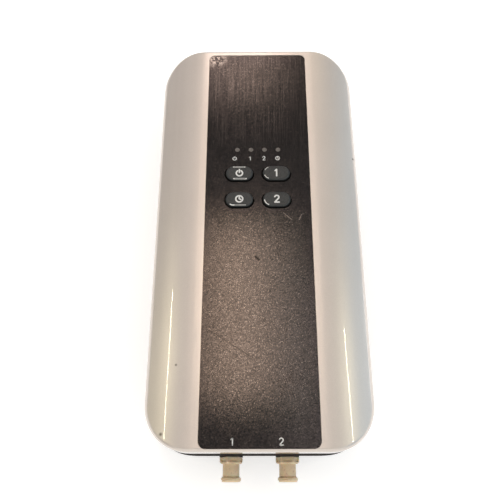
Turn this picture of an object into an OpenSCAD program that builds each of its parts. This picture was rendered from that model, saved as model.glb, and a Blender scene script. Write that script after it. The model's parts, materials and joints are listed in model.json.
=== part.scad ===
// Compression therapy pump: a slim table-top air pump that fills two garments in turn.
// A curved top cover and a shallow bottom cover hold a crank-driven diaphragm pump, two solenoid
// valves and a control board. The air leaves through two luer ports in the near end wall.
// X is the width, Y runs from the ports (-Y) to the power inlet (+Y), Z is up.
// The origin is the middle of the footprint, ports included, on the table.

/* [Housing] */
// Width of the housing
body_w = 85; // [84:1:96]
// Length of the housing, without the air ports
body_l = 175; // [170:1:195]
// Height from the table to the flat band along the top
body_h = 42; // [41.5:0.5:48]
// Corner radius, seen from above
corner_r = 17.5; // [16.5:0.5:22]
// Height of the joint between the two covers
split_z = 20; // [19.5:0.5:22]
// Wall thickness of both covers
wall = 2.4; // [2:0.1:2.6]
// Width of the flat band between the shoulders
flat_w = 45; // [44.5:0.5:50]
// Radius of the curved shoulders beside the flat band
shoulder_r = 36; // [32:1:60]
// Radius of the edge that runs round the top cover
edge_r = 1.4; // [0.8:0.2:2.4]
// Radius of the bottom cover's lower edge
base_r = 3.5; // [2:0.5:4]
// How far the bottom cover's wall leans in towards its base
draft = 0.6; // [0.2:0.1:0.8]
// Height of the shadow line under the top cover
reveal_h = 0.7; // [0.4:0.1:1]
// Depth of the shadow line under the top cover
reveal_d = 0.6; // [0.3:0.1:0.8]
// Height of the locating lip on the bottom cover
lip_h = 1.6; // [1:0.1:2.2]
// Thickness of the locating lip
lip_t = 1.1; // [0.8:0.1:1.2]

/* [Feet and case screws] */
// Height of the rubber feet below the bottom cover
foot_h = 1.4; // [0.8:0.1:2]
// Radius of the rubber feet
foot_r = 5; // [4:0.5:6]
// Depth of the pocket that each foot sits in
foot_pocket = 0.7; // [0.4:0.1:1]
// Distance of the feet from the near and far ends
foot_inset = 29; // [26:1:34]
// Radius of the screw posts in both covers
post_r = 4; // [3.6:0.1:4.2]
// Radius of the case screws
screw_r = 1.5; // [1.25:0.05:1.6]
// Length of the case screws under the head
screw_l = 16; // [13:0.5:18]
// Height at which the case screw heads seat
screw_seat_z = 11; // [9:0.5:13]

/* [Control panel] */
// Width of the dark control panel
panel_w = 43.4; // [42:0.2:43.8]
// Thickness of the control panel
panel_t = 0.8; // [0.5:0.1:1]
// Depth of the control panel's face below the flat band
panel_sink = 0.25; // [0.1:0.05:0.4]
// Width of the top cover's rim at the panel's near end
near_rim = 1.1; // [0.8:0.1:4]
// Width of the top cover's rim at the panel's far end
far_rim = 2.8; // [0.8:0.1:4]
// Corner radius of the control panel
panel_r = 2.6; // [1.6:0.2:5]

/* [Buttons] */
// Length of a button across the housing
key_l = 11.4; // [10:0.2:12]
// Width of a button along the housing
key_w = 6.8; // [6:0.2:7.6]
// Height of a button's face above the control panel
key_rise = 1.1; // [0.8:0.1:1.6]
// Distance that a button travels
key_travel = 0.5; // [0.3:0.05:0.6]
// Gap round a button
key_gap = 0.3; // [0.2:0.05:0.4]
// Radius of the edge round a button's face
key_edge_r = 0.9; // [0.4:0.1:1]
// Distance between the two button columns
key_pitch_x = 15.4; // [14.8:0.2:16.4]
// Distance between the two button rows
key_pitch_y = 12.2; // [11:0.2:14]
// Place of the far button row, from the middle of the housing
key_y = 22.9; // [18:0.5:26]

/* [Indicators] */
// Radius of an indicator window
lens_r = 0.95; // [0.8:0.05:1.3]
// Distance between the indicator windows
lens_pitch = 5.75; // [5:0.25:6.5]
// Distance of the indicator row from the far button row
lens_row = 11.8; // [10:0.2:14]

/* [Air ports] */
// Distance between the two air ports
port_pitch = 22.1; // [21:0.1:26]
// Height of the air ports above the table
port_z = 12.5; // [12:0.1:13]
// Distance that the ports stand out of the end wall
port_out = 9.4; // [8.6:0.1:12]
// Radius of the luer socket in a port
socket_r = 2.15; // [2:0.05:2.3]
// Depth of the luer socket
socket_l = 8.5; // [7:0.5:10]
// Radius of a port's neck
neck_r = 3.3; // [3:0.05:3.5]
// Radius of the locking thread at a port's tip
lug_r = 3.9; // [3.7:0.05:4.2]
// Length of the locking thread
lug_l = 2.1; // [1.8:0.1:2.6]
// Width of the hexagonal collar across its corners
collar_w = 9.2; // [8.8:0.1:10]
// Length of the hexagonal collar outside the wall
collar_l = 2.7; // [2.5:0.1:3.4]
// Turn of the first port's collar
collar_turn_1 = 15; // [0:1:59]
// Turn of the second port's collar
collar_turn_2 = 56; // [0:1:59]

/* [Air line] */
// Radius of the air passages
lumen_r = 1.2; // [0.9:0.1:1.4]
// Radius of the nipples that carry the tubes
nipple_r = 2.25; // [2:0.05:2.5]
// Length of the nipples
nipple_l = 4.5; // [4:0.5:6]
// Outer radius of the air tubes
tube_r = 3.4; // [3.2:0.1:3.6]

/* [Valves] */
// Width of a solenoid valve
valve_w = 13; // [12:0.5:14]
// Length of a solenoid valve
valve_l = 24; // [22:0.5:26]
// Height of a solenoid valve
valve_h = 14; // [13:0.5:14.5]
// Radius of a valve plunger
plunger_r = 2.5; // [2:0.1:3]
// Stroke of a valve plunger
plunger_travel = 1; // [0.6:0.1:1.4]

/* [Pump] */
// Room between the motor's strap and the control board
motor_room = 2.45; // [2:0.05:3]
// Length of the motor can
motor_l = 30; // [28:1:34]
// Radius of the motor shaft
shaft_r = 1; // [0.8:0.1:1.25]
// Place of the motor shaft across the housing
pump_x = 12; // [11:0.5:13]
// Throw of the crank
crank_e = 1.2; // [0.8:0.1:1.4]
// Thickness of the diaphragm
diaphragm_t = 1.2; // [0.8:0.1:1.4]
// Thickness of the pump head
head_t = 12; // [10:0.5:13]
// Thickness of the rubber pad under the pump
pad_t = 1.2; // [0.8:0.1:1.3]

/* [Power inlet] */
// Place of the power inlet across the housing
jack_x = -16; // [-17:0.5:-12]
// Radius of the inlet's barrel socket
jack_bore_r = 2.75; // [2.6:0.05:3.2]
// Radius of the inlet's centre pin
jack_pin_r = 1.05; // [0.65:0.05:1.25]

/* [Control board] */
// Width of the control board
board_w = 42; // [41.5:0.5:44]
// Thickness of the control board
board_t = 1.6; // [1:0.1:1.6]
// Depth of the board's face below the inside of the top cover
board_drop = 6.6; // [6.4:0.1:6.8]

/* [Hidden] */
$fn = 64;

// Clearances
fit = 0.1; // round a piece in its pocket
slip = 0.05; // round a tube on its nipple or a shaft in its bush
thread_fit = 0.03; // round a screw in its pilot hole
over = 1; // how far a cut runs past the face that it opens

// Housing
near_y = -body_l / 2;
far_y = body_l / 2;
body_y = port_out / 2; // shift that centres the footprint on the origin
floor_z = foot_h + wall;
roof_z = body_h - wall;
edge_steps = 6;
corner_steps = 14;
shoulder_step = 1.5;
lip_inset = wall - lip_t;
foot_x = body_w / 2 - 14;
foot_y = body_l / 2 - foot_inset;
post_gap = 0.6; // between a screw post and the corner's wall
post_reach = (corner_r - wall - post_gap - post_r) * cos(45);
post_x = body_w / 2 - corner_r + post_reach;
post_y = body_l / 2 - corner_r + post_reach;
post_rib_l = sqrt(pow(corner_r - wall * 0.75, 2) - pow(post_reach, 2)) - post_reach; // from a post into the wall
post_rib_drop = 1.5; // how far the posts' ribs stop short of the joint between the covers
screw_head_r = 2.8;
screw_head_h = 2.4;
vent_count = 7;
vent_w = 2;
vent_l = 10;
vent_pitch = 6;
vent_x = body_w / 2 - 13;
vent_y = -24;
rib_t = 1.4;

// Control panel, buttons and indicators
panel_l = body_l - near_rim - far_rim;
panel_y = (near_rim - far_rim) / 2;
panel_z = body_h - panel_sink; // face of the panel
panel_floor_z = panel_z - panel_t;
key_flange_t = 0.9;
key_flange_reach = 0.9;
key_flange_z = roof_z - slip - key_flange_t;
key_stem_r = 1.9;
key_edge_steps = 5;
key_top_z = panel_z + key_rise;
key_near_y = key_y - key_pitch_y;
lens_y = key_y + lens_row;
lens_bar_r = 1.8;
lens_bar_t = 0.8;

// Control board and switches
board_z = roof_z - board_drop; // face of the board
board_low_z = board_z - board_t;
board_near_y = key_near_y - 10.5;
board_far_y = lens_y + 11;
board_l = board_far_y - board_near_y;
board_hole = 3.2; // distance of the screw holes from the board's edges
board_post_r = 2.4;
board_screw_r = 1;
board_screw_l = 6;
switch_w = 6;
switch_h = 3.5;
switch_top_z = board_z + switch_h;
stem_r = 1.75; // of a switch plunger
stem_rise = 0.8; // of a switch plunger above its switch
stem_flange_r = 2.2;
stem_flange_t = 0.8;
stem_flange_z = switch_top_z - 0.9 - stem_flange_t;
switch_floor_t = 0.6;
led_h = 0.8;
chip_h = 1.2;
header_h = 5;
header_x = -4;
header_w = 5;
header_y = board_far_y - 5;
capacitor_r = 2.2;
capacitor_l = 7;

// Air ports
port_x = [-port_pitch / 2, port_pitch / 2];
seat_y = near_y + draft + 0.1; // flat face that a port seals on
spot_r = collar_w / 2 + 1.2;
seal_out = 0.25; // how far the seal stands out of the wall
seal_near_y = near_y - seal_out;
thread_r = 3.5;
nut_t = 2.8;
nut_w = 10.6;
collar_flat = collar_w / 2 * cos(30); // distance of the collar's flats from its middle
collar_window = [2.8, 1.1, 0.35]; // length, width and depth of the windows in the collar
collar_frame = [0.35, 0.12]; // width and height of the raised frame round a window
tip_edge_r = 0.8; // round edge of a port's tip
tip_edge_steps = 4;
lug_slope = 0.6; // length of the slope between the locking thread and the neck
groove_t = 0.3; // width and depth of the groove that parts the two starts of the thread
groove_tilt = 9;
port_stub_y = near_y + wall + nut_t + 0.4; // where the nut's thread ends
tube_gap = 1; // between two nipples in one tube
tube_l = 2 * nipple_l + tube_gap - 0.6; // the tubes stop short of both shoulders
bore_fit_r = nipple_r + slip;

// Valves and manifold, in line behind the ports
valve_y = port_stub_y + 2 * nipple_l + tube_gap;
valve_far_y = valve_y + valve_l;
valve_low_z = port_z - valve_h / 2;
valve_seat = 4; // length of solid body in front of the plunger
plunger_l = 9;
plunger_y = valve_y + valve_seat;
core_y = plunger_y + plunger_l + plunger_travel + 0.2;
spring_r = plunger_r * 0.52;
spring_wire = 0.4;
spring_pocket = 4;
manifold_y = valve_far_y + 2 * nipple_l + tube_gap;
manifold_w = port_pitch + 12;
manifold_l = 8;
manifold_h = 9;
sensor_w = 7;
sensor_h = 4;

// Pump: its height comes from the room between the floor and the control board
strap_t = 0.9;
strap_w = 8;
motor_r = (board_low_z - motor_room - strap_t - slip - pad_t - floor_z) / 2;
pump_y = manifold_y + manifold_l + 2 * nipple_l + tube_gap; // near face of the pump
pump_l = 22;
pump_mid_y = pump_y + pump_l / 2;
pump_z = floor_z + pad_t + motor_r;
crank_side = 1.3; // of the crank case above and below its hollow
crank_wall = 3;
crank_r = motor_r - crank_side; // of the crank case's hollow
pump_left = crank_r + 0.8; // from the shaft to the face that carries the diaphragm
pump_right = crank_r + 1.8;
face_x = pump_x - pump_left;
head_x = face_x - diaphragm_t - head_t; // far side of the pump head
cover_t = 1.6;
cover_plug = 1.5;
clamp_r = 4;
clamp_t = 0.7;
clamp_head_r = 2;
clamp_head_h = 1.2;
clamp_screw_r = 1.2;
rod_plate_r = clamp_r + 0.5;
rod_plate_t = 1.2;
chamber_flex = 3; // of the diaphragm round the rod's plate
chamber_r = rod_plate_r + chamber_flex;
chamber_l = 5;
clamp_screw_bite = 2; // of the clamp's screw past the rod's plate
rod_w = 4.4;
rod_h = 4;
rod_ring_gap = 0.9; // between the turning ring and the crank case
rod_ring_r = crank_r - crank_e - rod_ring_gap;
rod_ring_t = 2.8;
eccentric_r = rod_ring_r - rod_ring_t;
eccentric_lip = 0.3; // of the eccentric past the rod, at each side
counterweight_r = crank_r - 1.7;
hub_r = 3;
hub_far_y = 5.4;
head_screw_r = 1;
head_screw_bite = 3.6;
head_screw_inset = 2.2;
head_screw_y = pump_l / 2 - head_screw_inset;
head_screw_z = motor_r - head_screw_inset;
outlet_x = face_x - diaphragm_t - 8.6;
intake_z = pump_z + 5;

// Motor
motor_y = pump_y + pump_l;
motor_wall = 1;
motor_boss_r = 3.1;
motor_boss_l = 1.4;
cap_t = 2;
cap_plug = 2;
lug_reach = 2;
lug_x = 4;
magnet_t = 1.8;
magnet_y = 3; // behind the motor's near face
magnet_end = 4; // in front of the motor's far face
armature_gap = 0.6;
armature_r = motor_r - motor_wall - magnet_t - armature_gap;
armature_y = 5;
armature_l = motor_l - 15;
commutator_l = 5;
commutator_r = 3;
strap_y = motor_y + motor_l * 0.55;
strap_reach = motor_r + 4;
strap_post_r = 3;
strap_screw_r = 1.2;
strap_screw_l = 7;

// Power inlet
jack_z = port_z;
jack_w = 9.5;
jack_l = 13;
jack_h = 10.5;
jack_nose_r = 4;
jack_face_y = far_y - draft - 0.2;
jack_bore_l = 9.5;
jack_pin_l = 8.6;

// Wiring: every lead is a pair of wires that ends in its own place of the header
wire_r = 0.5;
wire_sides = 8;
wire_steps = 4;
wire_gap = 1.8; // between the wires of a pair
wire_aside = [0.8, 0, 0.6] * wire_gap / 2; // from the middle of a pair, under way
jack_wire_aside = [0.6, 0, -0.8] * wire_gap / 2;
lead_pitch = 2 * wire_gap;
lead_count = 5;
header_l = lead_count * lead_pitch + 2;
header_low_z = board_low_z - header_h;
motor_lug_y = motor_y + motor_l + cap_t + lug_reach;
bundle_z = header_low_z - 5.4; // of the wires that run past the pump
bundle_gap = 12; // from those wires to the pump head
valve_lead_z = port_z + valve_h / 2;
sensor_lead_z = port_z + manifold_h / 2 + sensor_h;
jack_back_y = far_y - wall - jack_l;

// ---------- Shapes that repeat ----------

function backwards(list) = [for (i = [len(list) - 1:-1:0]) list[i]];

// Rectangle with round corners, centred
module rounded_rect(size_x, size_y, r) {
    square([size_x - 2 * r, size_y], center = true);
    square([size_x, size_y - 2 * r], center = true);
    for (x = [-1, 1], y = [-1, 1])
        translate([x * (size_x / 2 - r), y * (size_y / 2 - r)]) circle(r);
}

// The housing's outline seen from above, drawn in by inset, from z0 to z1
module plan(inset, z0, z1) {
    translate([0, 0, z0])
        linear_extrude(z1 - z0)
            rounded_rect(body_w - 2 * inset, body_l - 2 * inset, corner_r - inset, $fn = 64);
}

// The housing's arch seen from the end: a flat band between two shoulders, drawn in by inset
module arch(inset) {
    rotate([90, 0, 0])
        linear_extrude(body_l + 2 * over, center = true) {
            translate([-flat_w / 2, 0]) square([flat_w, body_h - inset]);
            for (x = [-1, 1])
                translate([x * flat_w / 2, body_h - shoulder_r])
                    circle(shoulder_r - inset, $fn = 96);
        }
}

// Slot shape with round ends along X
module slot_shape(l, w) {
    square([l - w, w], center = true);
    for (x = [-1, 1]) translate([x * (l - w) / 2, 0]) circle(w / 2);
}

// Slot prism from z0 to z1
module slot_prism(l, w, z0, z1) {
    translate([0, 0, z0]) linear_extrude(z1 - z0) slot_shape(l, w);
}

// Slot prism from z0 to z1 with a round edge of radius r along its top
module round_slot(l, w, z0, z1, r) {
    half = concat(
        [[0, z0], [w / 2, z0]],
        [
            for (i = [0:key_edge_steps])
                let (a = 90 * i / key_edge_steps) [w / 2 - r * (1 - cos(a)), z1 - r * (1 - sin(a))]
        ],
        [[0, z1]]
    );
    for (x = [-1, 1])
        translate([x * (l - w) / 2, 0, 0])
            rotate_extrude()
                polygon(half);
    rotate([90, 0, 90])
        linear_extrude(l - w, center = true)
            polygon(concat(half, backwards([for (p = half) [-p[0], p[1]]])));
}

// Cylinder along +Y from y0 to y1
module rod_y(r, y0, y1) {
    translate([0, y0, 0]) rotate([-90, 0, 0]) cylinder(h = y1 - y0, r = r);
}

// Cylinder along +X from x0 to x1
module rod_x(r, x0, x1) {
    translate([x0, 0, 0]) rotate([0, 90, 0]) cylinder(h = x1 - x0, r = r);
}

// Block from corner a to corner b
module block(a, b) {
    translate(a) cube(b - a);
}

// Screw along +Z whose head rests on z = 0 from below
module screw(r, l, head_r, head_h) {
    cylinder(h = l, r = r);
    difference() {
        translate([0, 0, -head_h]) cylinder(h = head_h, r = head_r);
        // cross recess
        for (a = [0, 90])
            rotate([0, 0, a])
                translate([-head_r * 0.6, -head_r * 0.13, -head_h - over])
                    cube([head_r * 1.2, head_r * 0.26, over + head_h / 2]);
    }
}

// Piece of air tube along +Y
module air_tube(y0, y1) {
    difference() {
        rod_y(tube_r, y0, y1);
        rod_y(bore_fit_r, y0 - over, y1 + over);
    }
}

// Children, moved from the housing's own frame to the origin of the footprint
module housed() {
    translate([0, body_y, 0]) children();
}

// Four places that mirror each other about the middle of the housing
module four_corners(x, y) {
    for (i = [-1, 1], j = [-1, 1]) translate([i * x, j * y, 0]) children();
}

// Places of the four buttons: [column, row]
module at_key(column, row) {
    translate([(column - 0.5) * key_pitch_x, key_y - row * key_pitch_y, 0]) children();
}

module at_each_key() {
    for (column = [0, 1], row = [0, 1]) at_key(column, row) children();
}

module at_each_lens() {
    for (i = [0:3]) translate([(i - 1.5) * lens_pitch, lens_y, 0]) children();
}

module at_board_holes() {
    for (x = [-1, 1], y = [board_near_y + board_hole, board_far_y - board_hole])
        translate([x * (board_w / 2 - board_hole), y, 0]) children();
}

// ---------- Covers ----------

// Quarter of the housing's outline from the middle of an end to the side, drawn in by inset.
// The end's straight part has stations only where the shoulder curves across it.
function quarter(inset) = concat(
    [for (x = [flat_w / 2:shoulder_step:body_w / 2 - corner_r - shoulder_step / 2]) [x, body_l / 2 - inset]],
    [
        for (k = [0:corner_steps])
            let (a = 90 * k / corner_steps, r = corner_r - inset)
                [body_w / 2 - corner_r + r * sin(a), body_l / 2 - corner_r + r * cos(a)]
    ]
);

// Whole outline in four quarters
function outline(inset) = let (q = quarter(inset), back = backwards(q)) concat(
    q,
    [for (p = back) [p[0], -p[1]]],
    [for (p = q) [-p[0], -p[1]]],
    [for (p = back) [-p[0], p[1]]]
);

// Height of the arch at x, drawn in by inset
function arch_z(x, inset) = let (out = max(0, abs(x) - flat_w / 2))
    body_h - shoulder_r + sqrt(pow(shoulder_r - inset, 2) - out * out);

// Ring of the outline at one height, and ring that follows the arch
function level_ring(inset, z) = [for (p = outline(inset)) [p[0], p[1], z]];
function arch_ring(inset, arch_inset) = [for (p = outline(inset)) [p[0], p[1], arch_z(p[0], arch_inset)]];

// Solid through a stack of rings, closed at both ends by strips that run along the housing
module loft(rings) {
    n = len(rings[0]);
    q = n / 4;
    last = (len(rings) - 1) * n;
    stations = concat(
        [for (j = [q - 1:-1:0]) [j, 2 * q - 1 - j]],
        [for (j = [0:q - 1]) [4 * q - 1 - j, 2 * q + j]]
    );
    strips = [
        for (k = [0:len(stations) - 2])
            let (a = stations[k], b = stations[k + 1]) [a[0], b[0], b[1], a[1]]
    ];
    walls = [
        for (i = [0:len(rings) - 2], k = [0:n - 1])
            let (a = i * n + k, b = i * n + (k + 1) % n)
                for (face = [[a, b, b + n], [a, b + n, a + n]]) face
    ];
    points = [for (ring = rings) for (p = ring) p];
    polyhedron(points, concat(strips, walls, [for (f = strips) [f[3] + last, f[2] + last, f[1] + last, f[0] + last]]));
}

module top_outer() {
    loft(concat(
        [level_ring(0, split_z)],
        [
            for (i = [0:edge_steps])
                let (a = 90 * i / edge_steps) arch_ring(edge_r * (1 - cos(a)), edge_r * (1 - sin(a)))
        ]
    ));
}

module top_hollow() {
    intersection() {
        plan(wall, split_z - over, body_h);
        arch(wall);
    }
    plan(lip_inset - fit, split_z - over, split_z + lip_h + 2 * fit);
}

// Two ribs from each corner post to the walls, from z0 to z1
module post_ribs(z0, z1) {
    for (x = [-1, 1], y = [-1, 1])
        translate([x * post_x, y * post_y, (z0 + z1) / 2]) {
            translate([x * post_rib_l / 2, 0, 0]) cube([post_rib_l, rib_t, z1 - z0], center = true);
            translate([0, y * post_rib_l / 2, 0]) cube([rib_t, post_rib_l, z1 - z0], center = true);
        }
}

module top_posts() {
    intersection() {
        union() {
            four_corners(post_x, post_y)
                translate([0, 0, split_z]) cylinder(h = body_h - split_z, r = post_r);
            post_ribs(split_z + lip_h + post_rib_drop, body_h);
        }
        arch(wall / 2);
    }
    at_board_holes()
        translate([0, 0, board_z]) cylinder(h = roof_z - board_z + fit, r = board_post_r);
}

module top_cover() color("#c9c1b8") housed()
    difference() {
        union() {
            difference() {
                top_outer();
                top_hollow();
            }
            top_posts();
        }
        translate([0, panel_y, panel_floor_z])
            linear_extrude(body_h)
                rounded_rect(panel_w + 2 * fit, panel_l + 2 * fit, panel_r + fit);
        at_each_key()
            slot_prism(key_l + 2 * key_gap, key_w + 2 * key_gap, roof_z - over, body_h);
        at_each_lens()
            translate([0, 0, roof_z - over]) cylinder(h = wall + over, r = lens_r + slip);
        four_corners(post_x, post_y)
            translate([0, 0, split_z - over])
                cylinder(h = screw_seat_z + screw_l + over - split_z + over, r = screw_r + thread_fit);
        at_board_holes()
            translate([0, 0, board_z - over])
                cylinder(h = board_screw_l - board_t + 2 * over, r = board_screw_r + thread_fit);
    }

module bottom_outer() {
    loft(concat(
        [
            for (i = [0:edge_steps])
                let (a = 90 - 90 * i / edge_steps)
                    level_ring(draft + base_r * (1 - cos(a)), foot_h + base_r * (1 - sin(a)))
        ],
        [level_ring(0, split_z - reveal_h)]
    ));
    plan(reveal_d, split_z - reveal_h - 1, split_z);
    plan(lip_inset, split_z - 1, split_z + lip_h);
}

// Floor pads and side ribs that hold the valves, the manifold and the inlet
module cradles() {
    for (x = port_x) {
        block([x - valve_w / 2, valve_y + 2, foot_h + 1],
            [x + valve_w / 2, valve_far_y - 2, valve_low_z]);
        for (side = [-1, 1])
            block([x + side * (valve_w + rib_t + 2 * fit) / 2 - rib_t / 2, valve_y + 3, foot_h + 1],
                [x + side * (valve_w + rib_t + 2 * fit) / 2 + rib_t / 2, valve_far_y - 3, port_z - 1]);
    }
    block([-manifold_w / 2, manifold_y + 1, foot_h + 1],
        [manifold_w / 2, manifold_y + manifold_l - 1, port_z - manifold_h / 2]);
    block([jack_x - jack_w / 2, far_y - wall - jack_l, foot_h + 1],
        [jack_x + jack_w / 2, far_y - wall, jack_z - jack_h / 2]);
    for (side = [-1, 1])
        block([jack_x + side * (jack_w + rib_t + 2 * fit) / 2 - rib_t / 2, far_y - wall - jack_l, foot_h + 1],
            [jack_x + side * (jack_w + rib_t + 2 * fit) / 2 + rib_t / 2, far_y - wall / 2, jack_z - 1]);
}

// Saddles that the motor lies in, and the posts for its strap
module motor_saddles() {
    difference() {
        for (y = [motor_y + 3, motor_y + motor_l - 6])
            block([pump_x - motor_r * 0.7, y, foot_h + 1],
                [pump_x + motor_r * 0.7, y + 3, pump_z - motor_r * 0.55]);
        translate([pump_x, 0, pump_z]) rod_y(motor_r + slip, motor_y - over, motor_y + motor_l + over);
    }
    for (side = [-1, 1])
        translate([pump_x + side * strap_reach, strap_y, foot_h + 1])
            cylinder(h = pump_z - foot_h - 1, r = strap_post_r);
}

module bottom_cover() color("#2b2a2b") housed()
    difference() {
        union() {
            difference() {
                bottom_outer();
                plan(wall, floor_z, split_z + lip_h + over);
            }
            four_corners(post_x, post_y)
                translate([0, 0, foot_h + 1]) cylinder(h = split_z - foot_h - 1, r = post_r);
            post_ribs(floor_z - fit, split_z - post_rib_drop);
            cradles();
            motor_saddles();
        }
        // case screws and feet
        four_corners(post_x, post_y) {
            translate([0, 0, foot_h - over])
                cylinder(h = screw_seat_z - foot_h + over, r = screw_head_r + 3 * fit);
            translate([0, 0, screw_seat_z - over])
                cylinder(h = split_z - screw_seat_z + 2 * over, r = screw_r + 2 * fit);
        }
        four_corners(foot_x, foot_y)
            translate([0, 0, foot_h - over]) cylinder(h = foot_pocket + over, r = foot_r + fit);
        // cooling slots
        for (side = [-1, 1], i = [0:vent_count - 1])
            translate([side * vent_x, vent_y + (i - (vent_count - 1) / 2) * vent_pitch, 0])
                slot_prism(vent_l, vent_w, foot_h - over, floor_z + over);
        // strap screws
        for (side = [-1, 1])
            translate([pump_x + side * strap_reach, strap_y, pump_z - strap_screw_l])
                cylinder(h = strap_screw_l + over, r = strap_screw_r + thread_fit);
        // ports, each with a flat seat, and the power inlet
        for (x = port_x)
            translate([x, 0, port_z]) {
                rod_y(thread_r + fit, near_y - over, near_y + wall + over);
                rod_y(spot_r, near_y - over, seat_y);
            }
        translate([jack_x, 0, jack_z]) rod_y(jack_nose_r + fit, far_y - wall - over, far_y + over);
    }

module rubber_feet() color("#1c1c1d") housed()
    four_corners(foot_x, foot_y) {
        cylinder(h = 0.5, r1 = foot_r - 0.5, r2 = foot_r);
        translate([0, 0, 0.5]) cylinder(h = foot_h + foot_pocket - 0.5, r = foot_r);
    }

module case_screws() color("#8d8d90") housed()
    four_corners(post_x, post_y)
        translate([0, 0, screw_seat_z]) screw(screw_r, screw_l, screw_head_r, screw_head_h);

module control_panel() color("#3a3537") housed()
    difference() {
        translate([0, panel_y, panel_floor_z])
            linear_extrude(panel_t)
                rounded_rect(panel_w, panel_l, panel_r);
        at_each_key()
            slot_prism(key_l + 2 * key_gap, key_w + 2 * key_gap, panel_floor_z - over, panel_z + over);
        at_each_lens()
            translate([0, 0, panel_floor_z - over]) cylinder(h = panel_t + 2 * over, r = lens_r + slip);
    }

// ---------- Buttons, switches and indicators ----------

module button(column, row) color("#464949") housed()
    at_key(column, row) {
        round_slot(key_l, key_w, key_flange_z, key_top_z, key_edge_r);
        slot_prism(key_l + 2 * key_flange_reach, key_w + 2 * key_flange_reach,
            key_flange_z, key_flange_z + key_flange_t);
        translate([0, 0, switch_top_z + stem_rise])
            cylinder(h = key_flange_z - switch_top_z - stem_rise + fit, r = key_stem_r);
    }

module switch_plunger(column, row) color("#d8d4c8") housed()
    at_key(column, row)
        translate([0, 0, stem_flange_z]) {
            cylinder(h = switch_top_z + stem_rise - stem_flange_z, r = stem_r);
            cylinder(h = stem_flange_t, r = stem_flange_r);
        }

module power_button() button(0, 0);
module timer_button() button(0, 1);
module port_1_button() button(1, 0);
module port_2_button() button(1, 1);
module power_plunger() switch_plunger(0, 0);
module timer_plunger() switch_plunger(0, 1);
module port_1_plunger() switch_plunger(1, 0);
module port_2_plunger() switch_plunger(1, 1);

module tact_switches() color("#1e1e20") housed()
    at_each_key()
        difference() {
            translate([-switch_w / 2, -switch_w / 2, board_z]) cube([switch_w, switch_w, switch_h]);
            translate([0, 0, board_z + switch_floor_t]) {
                cylinder(h = switch_h, r = stem_r + slip);
                cylinder(h = stem_flange_z + stem_flange_t + slip - board_z - switch_floor_t,
                    r = stem_flange_r + slip);
            }
        }

// One light guide: four windows on a bar that seats under the roof
module indicator_windows() color("#8c8886") housed() {
    at_each_lens()
        translate([0, 0, board_z + led_h + 0.3])
            cylinder(h = panel_z - board_z - led_h - 0.3 - slip, r = lens_r);
    translate([0, lens_y, 0])
        slot_prism(3 * lens_pitch + 2 * lens_bar_r, 2 * lens_bar_r, roof_z - lens_bar_t, roof_z);
}

module indicator_leds() color("#e9e4c9") housed()
    at_each_lens()
        translate([-1, -0.65, board_z]) cube([2, 1.3, led_h]);

// ---------- Control board ----------

module control_board() color("#1f5b39") housed()
    difference() {
        block([-board_w / 2, board_near_y, board_low_z], [board_w / 2, board_far_y, board_z]);
        at_board_holes()
            translate([0, 0, board_low_z - over]) cylinder(h = board_t + 2 * over, r = board_screw_r + 2 * fit);
    }

module board_screws() color("#9a9a9c") housed()
    at_board_holes() translate([0, 0, board_low_z]) screw(board_screw_r, board_screw_l, 1.9, 1.3);

module microcontroller() color("#151517") housed()
    translate([-6, key_y - key_pitch_y / 2, board_low_z - chip_h])
        translate([-4.5, -4.5, 0]) cube([9, 9, chip_h]);

module capacitors() color("#33415e") housed()
    for (i = [0, 1])
        translate([2 - board_w / 2 + capacitor_r, board_near_y + 9 + i * (2 * capacitor_r + 1.2), board_low_z - capacitor_l])
            cylinder(h = capacitor_l, r = capacitor_r);

module wire_header() color("#ddd8c6") housed()
    difference() {
        block([header_x - header_l / 2, header_y - header_w / 2, header_low_z],
            [header_x + header_l / 2, header_y + header_w / 2, board_low_z]);
        block([header_x - header_l / 2 + 1, header_y - header_w / 2 - over, header_low_z + 1.2],
            [header_x + header_l / 2 - 1, header_y - header_w / 2 + 0.8, board_low_z - 1]);
    }

// ---------- Air ports ----------

// Round bar along +Y whose outline runs through points of [radius, place]
module turned_y(outline) {
    rotate([-90, 0, 0])
        rotate_extrude()
            polygon(concat([[0, outline[0][1]]], outline, [[0, outline[len(outline) - 1][1]]]));
}

// Children on each flat of a collar at y, with +Z outward
module on_each_flat(turn, y) {
    for (i = [0:5])
        translate([0, y, 0])
            rotate([0, turn + 60 * i, 0])
                translate([0, 0, collar_flat]) children();
}

// Slab on a flat: a window's size with a border round it, from z0 to z1
module window_slab(border, z0, z1) {
    l = collar_window[0] + 2 * border;
    w = collar_window[1] + 2 * border;
    block([-l / 2, -w / 2, z0], [l / 2, w / 2, z1]);
}

// Hexagonal collar along +Y with a framed window in each flat and a chamfered outer edge
module collar(turn, y0, y1) {
    difference() {
        union() {
            intersection() {
                translate([0, y0, 0])
                    rotate([-90, 0, 0]) rotate([0, 0, turn]) cylinder(h = y1 - y0, r = collar_w / 2, $fn = 6);
                translate([0, y0, 0])
                    rotate([-90, 0, 0]) cylinder(h = y1 - y0, r1 = collar_flat, r2 = collar_flat + (y1 - y0));
            }
            on_each_flat(turn, (y0 + y1) / 2) window_slab(collar_frame[0], -fit, collar_frame[1]);
        }
        on_each_flat(turn, (y0 + y1) / 2) window_slab(0, -collar_window[2], over);
    }
}

// Groove round a port's tip, tilted so that it parts the locking thread into two starts
module thread_groove(tip_y) {
    translate([0, tip_y + (lug_l - lug_slope + tip_edge_r) / 2, 0])
        rotate([0, 0, groove_tilt])
            difference() {
                rod_y(lug_r + over, -groove_t / 2, groove_t / 2);
                rod_y(lug_r - groove_t, -over, over);
            }
}

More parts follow.
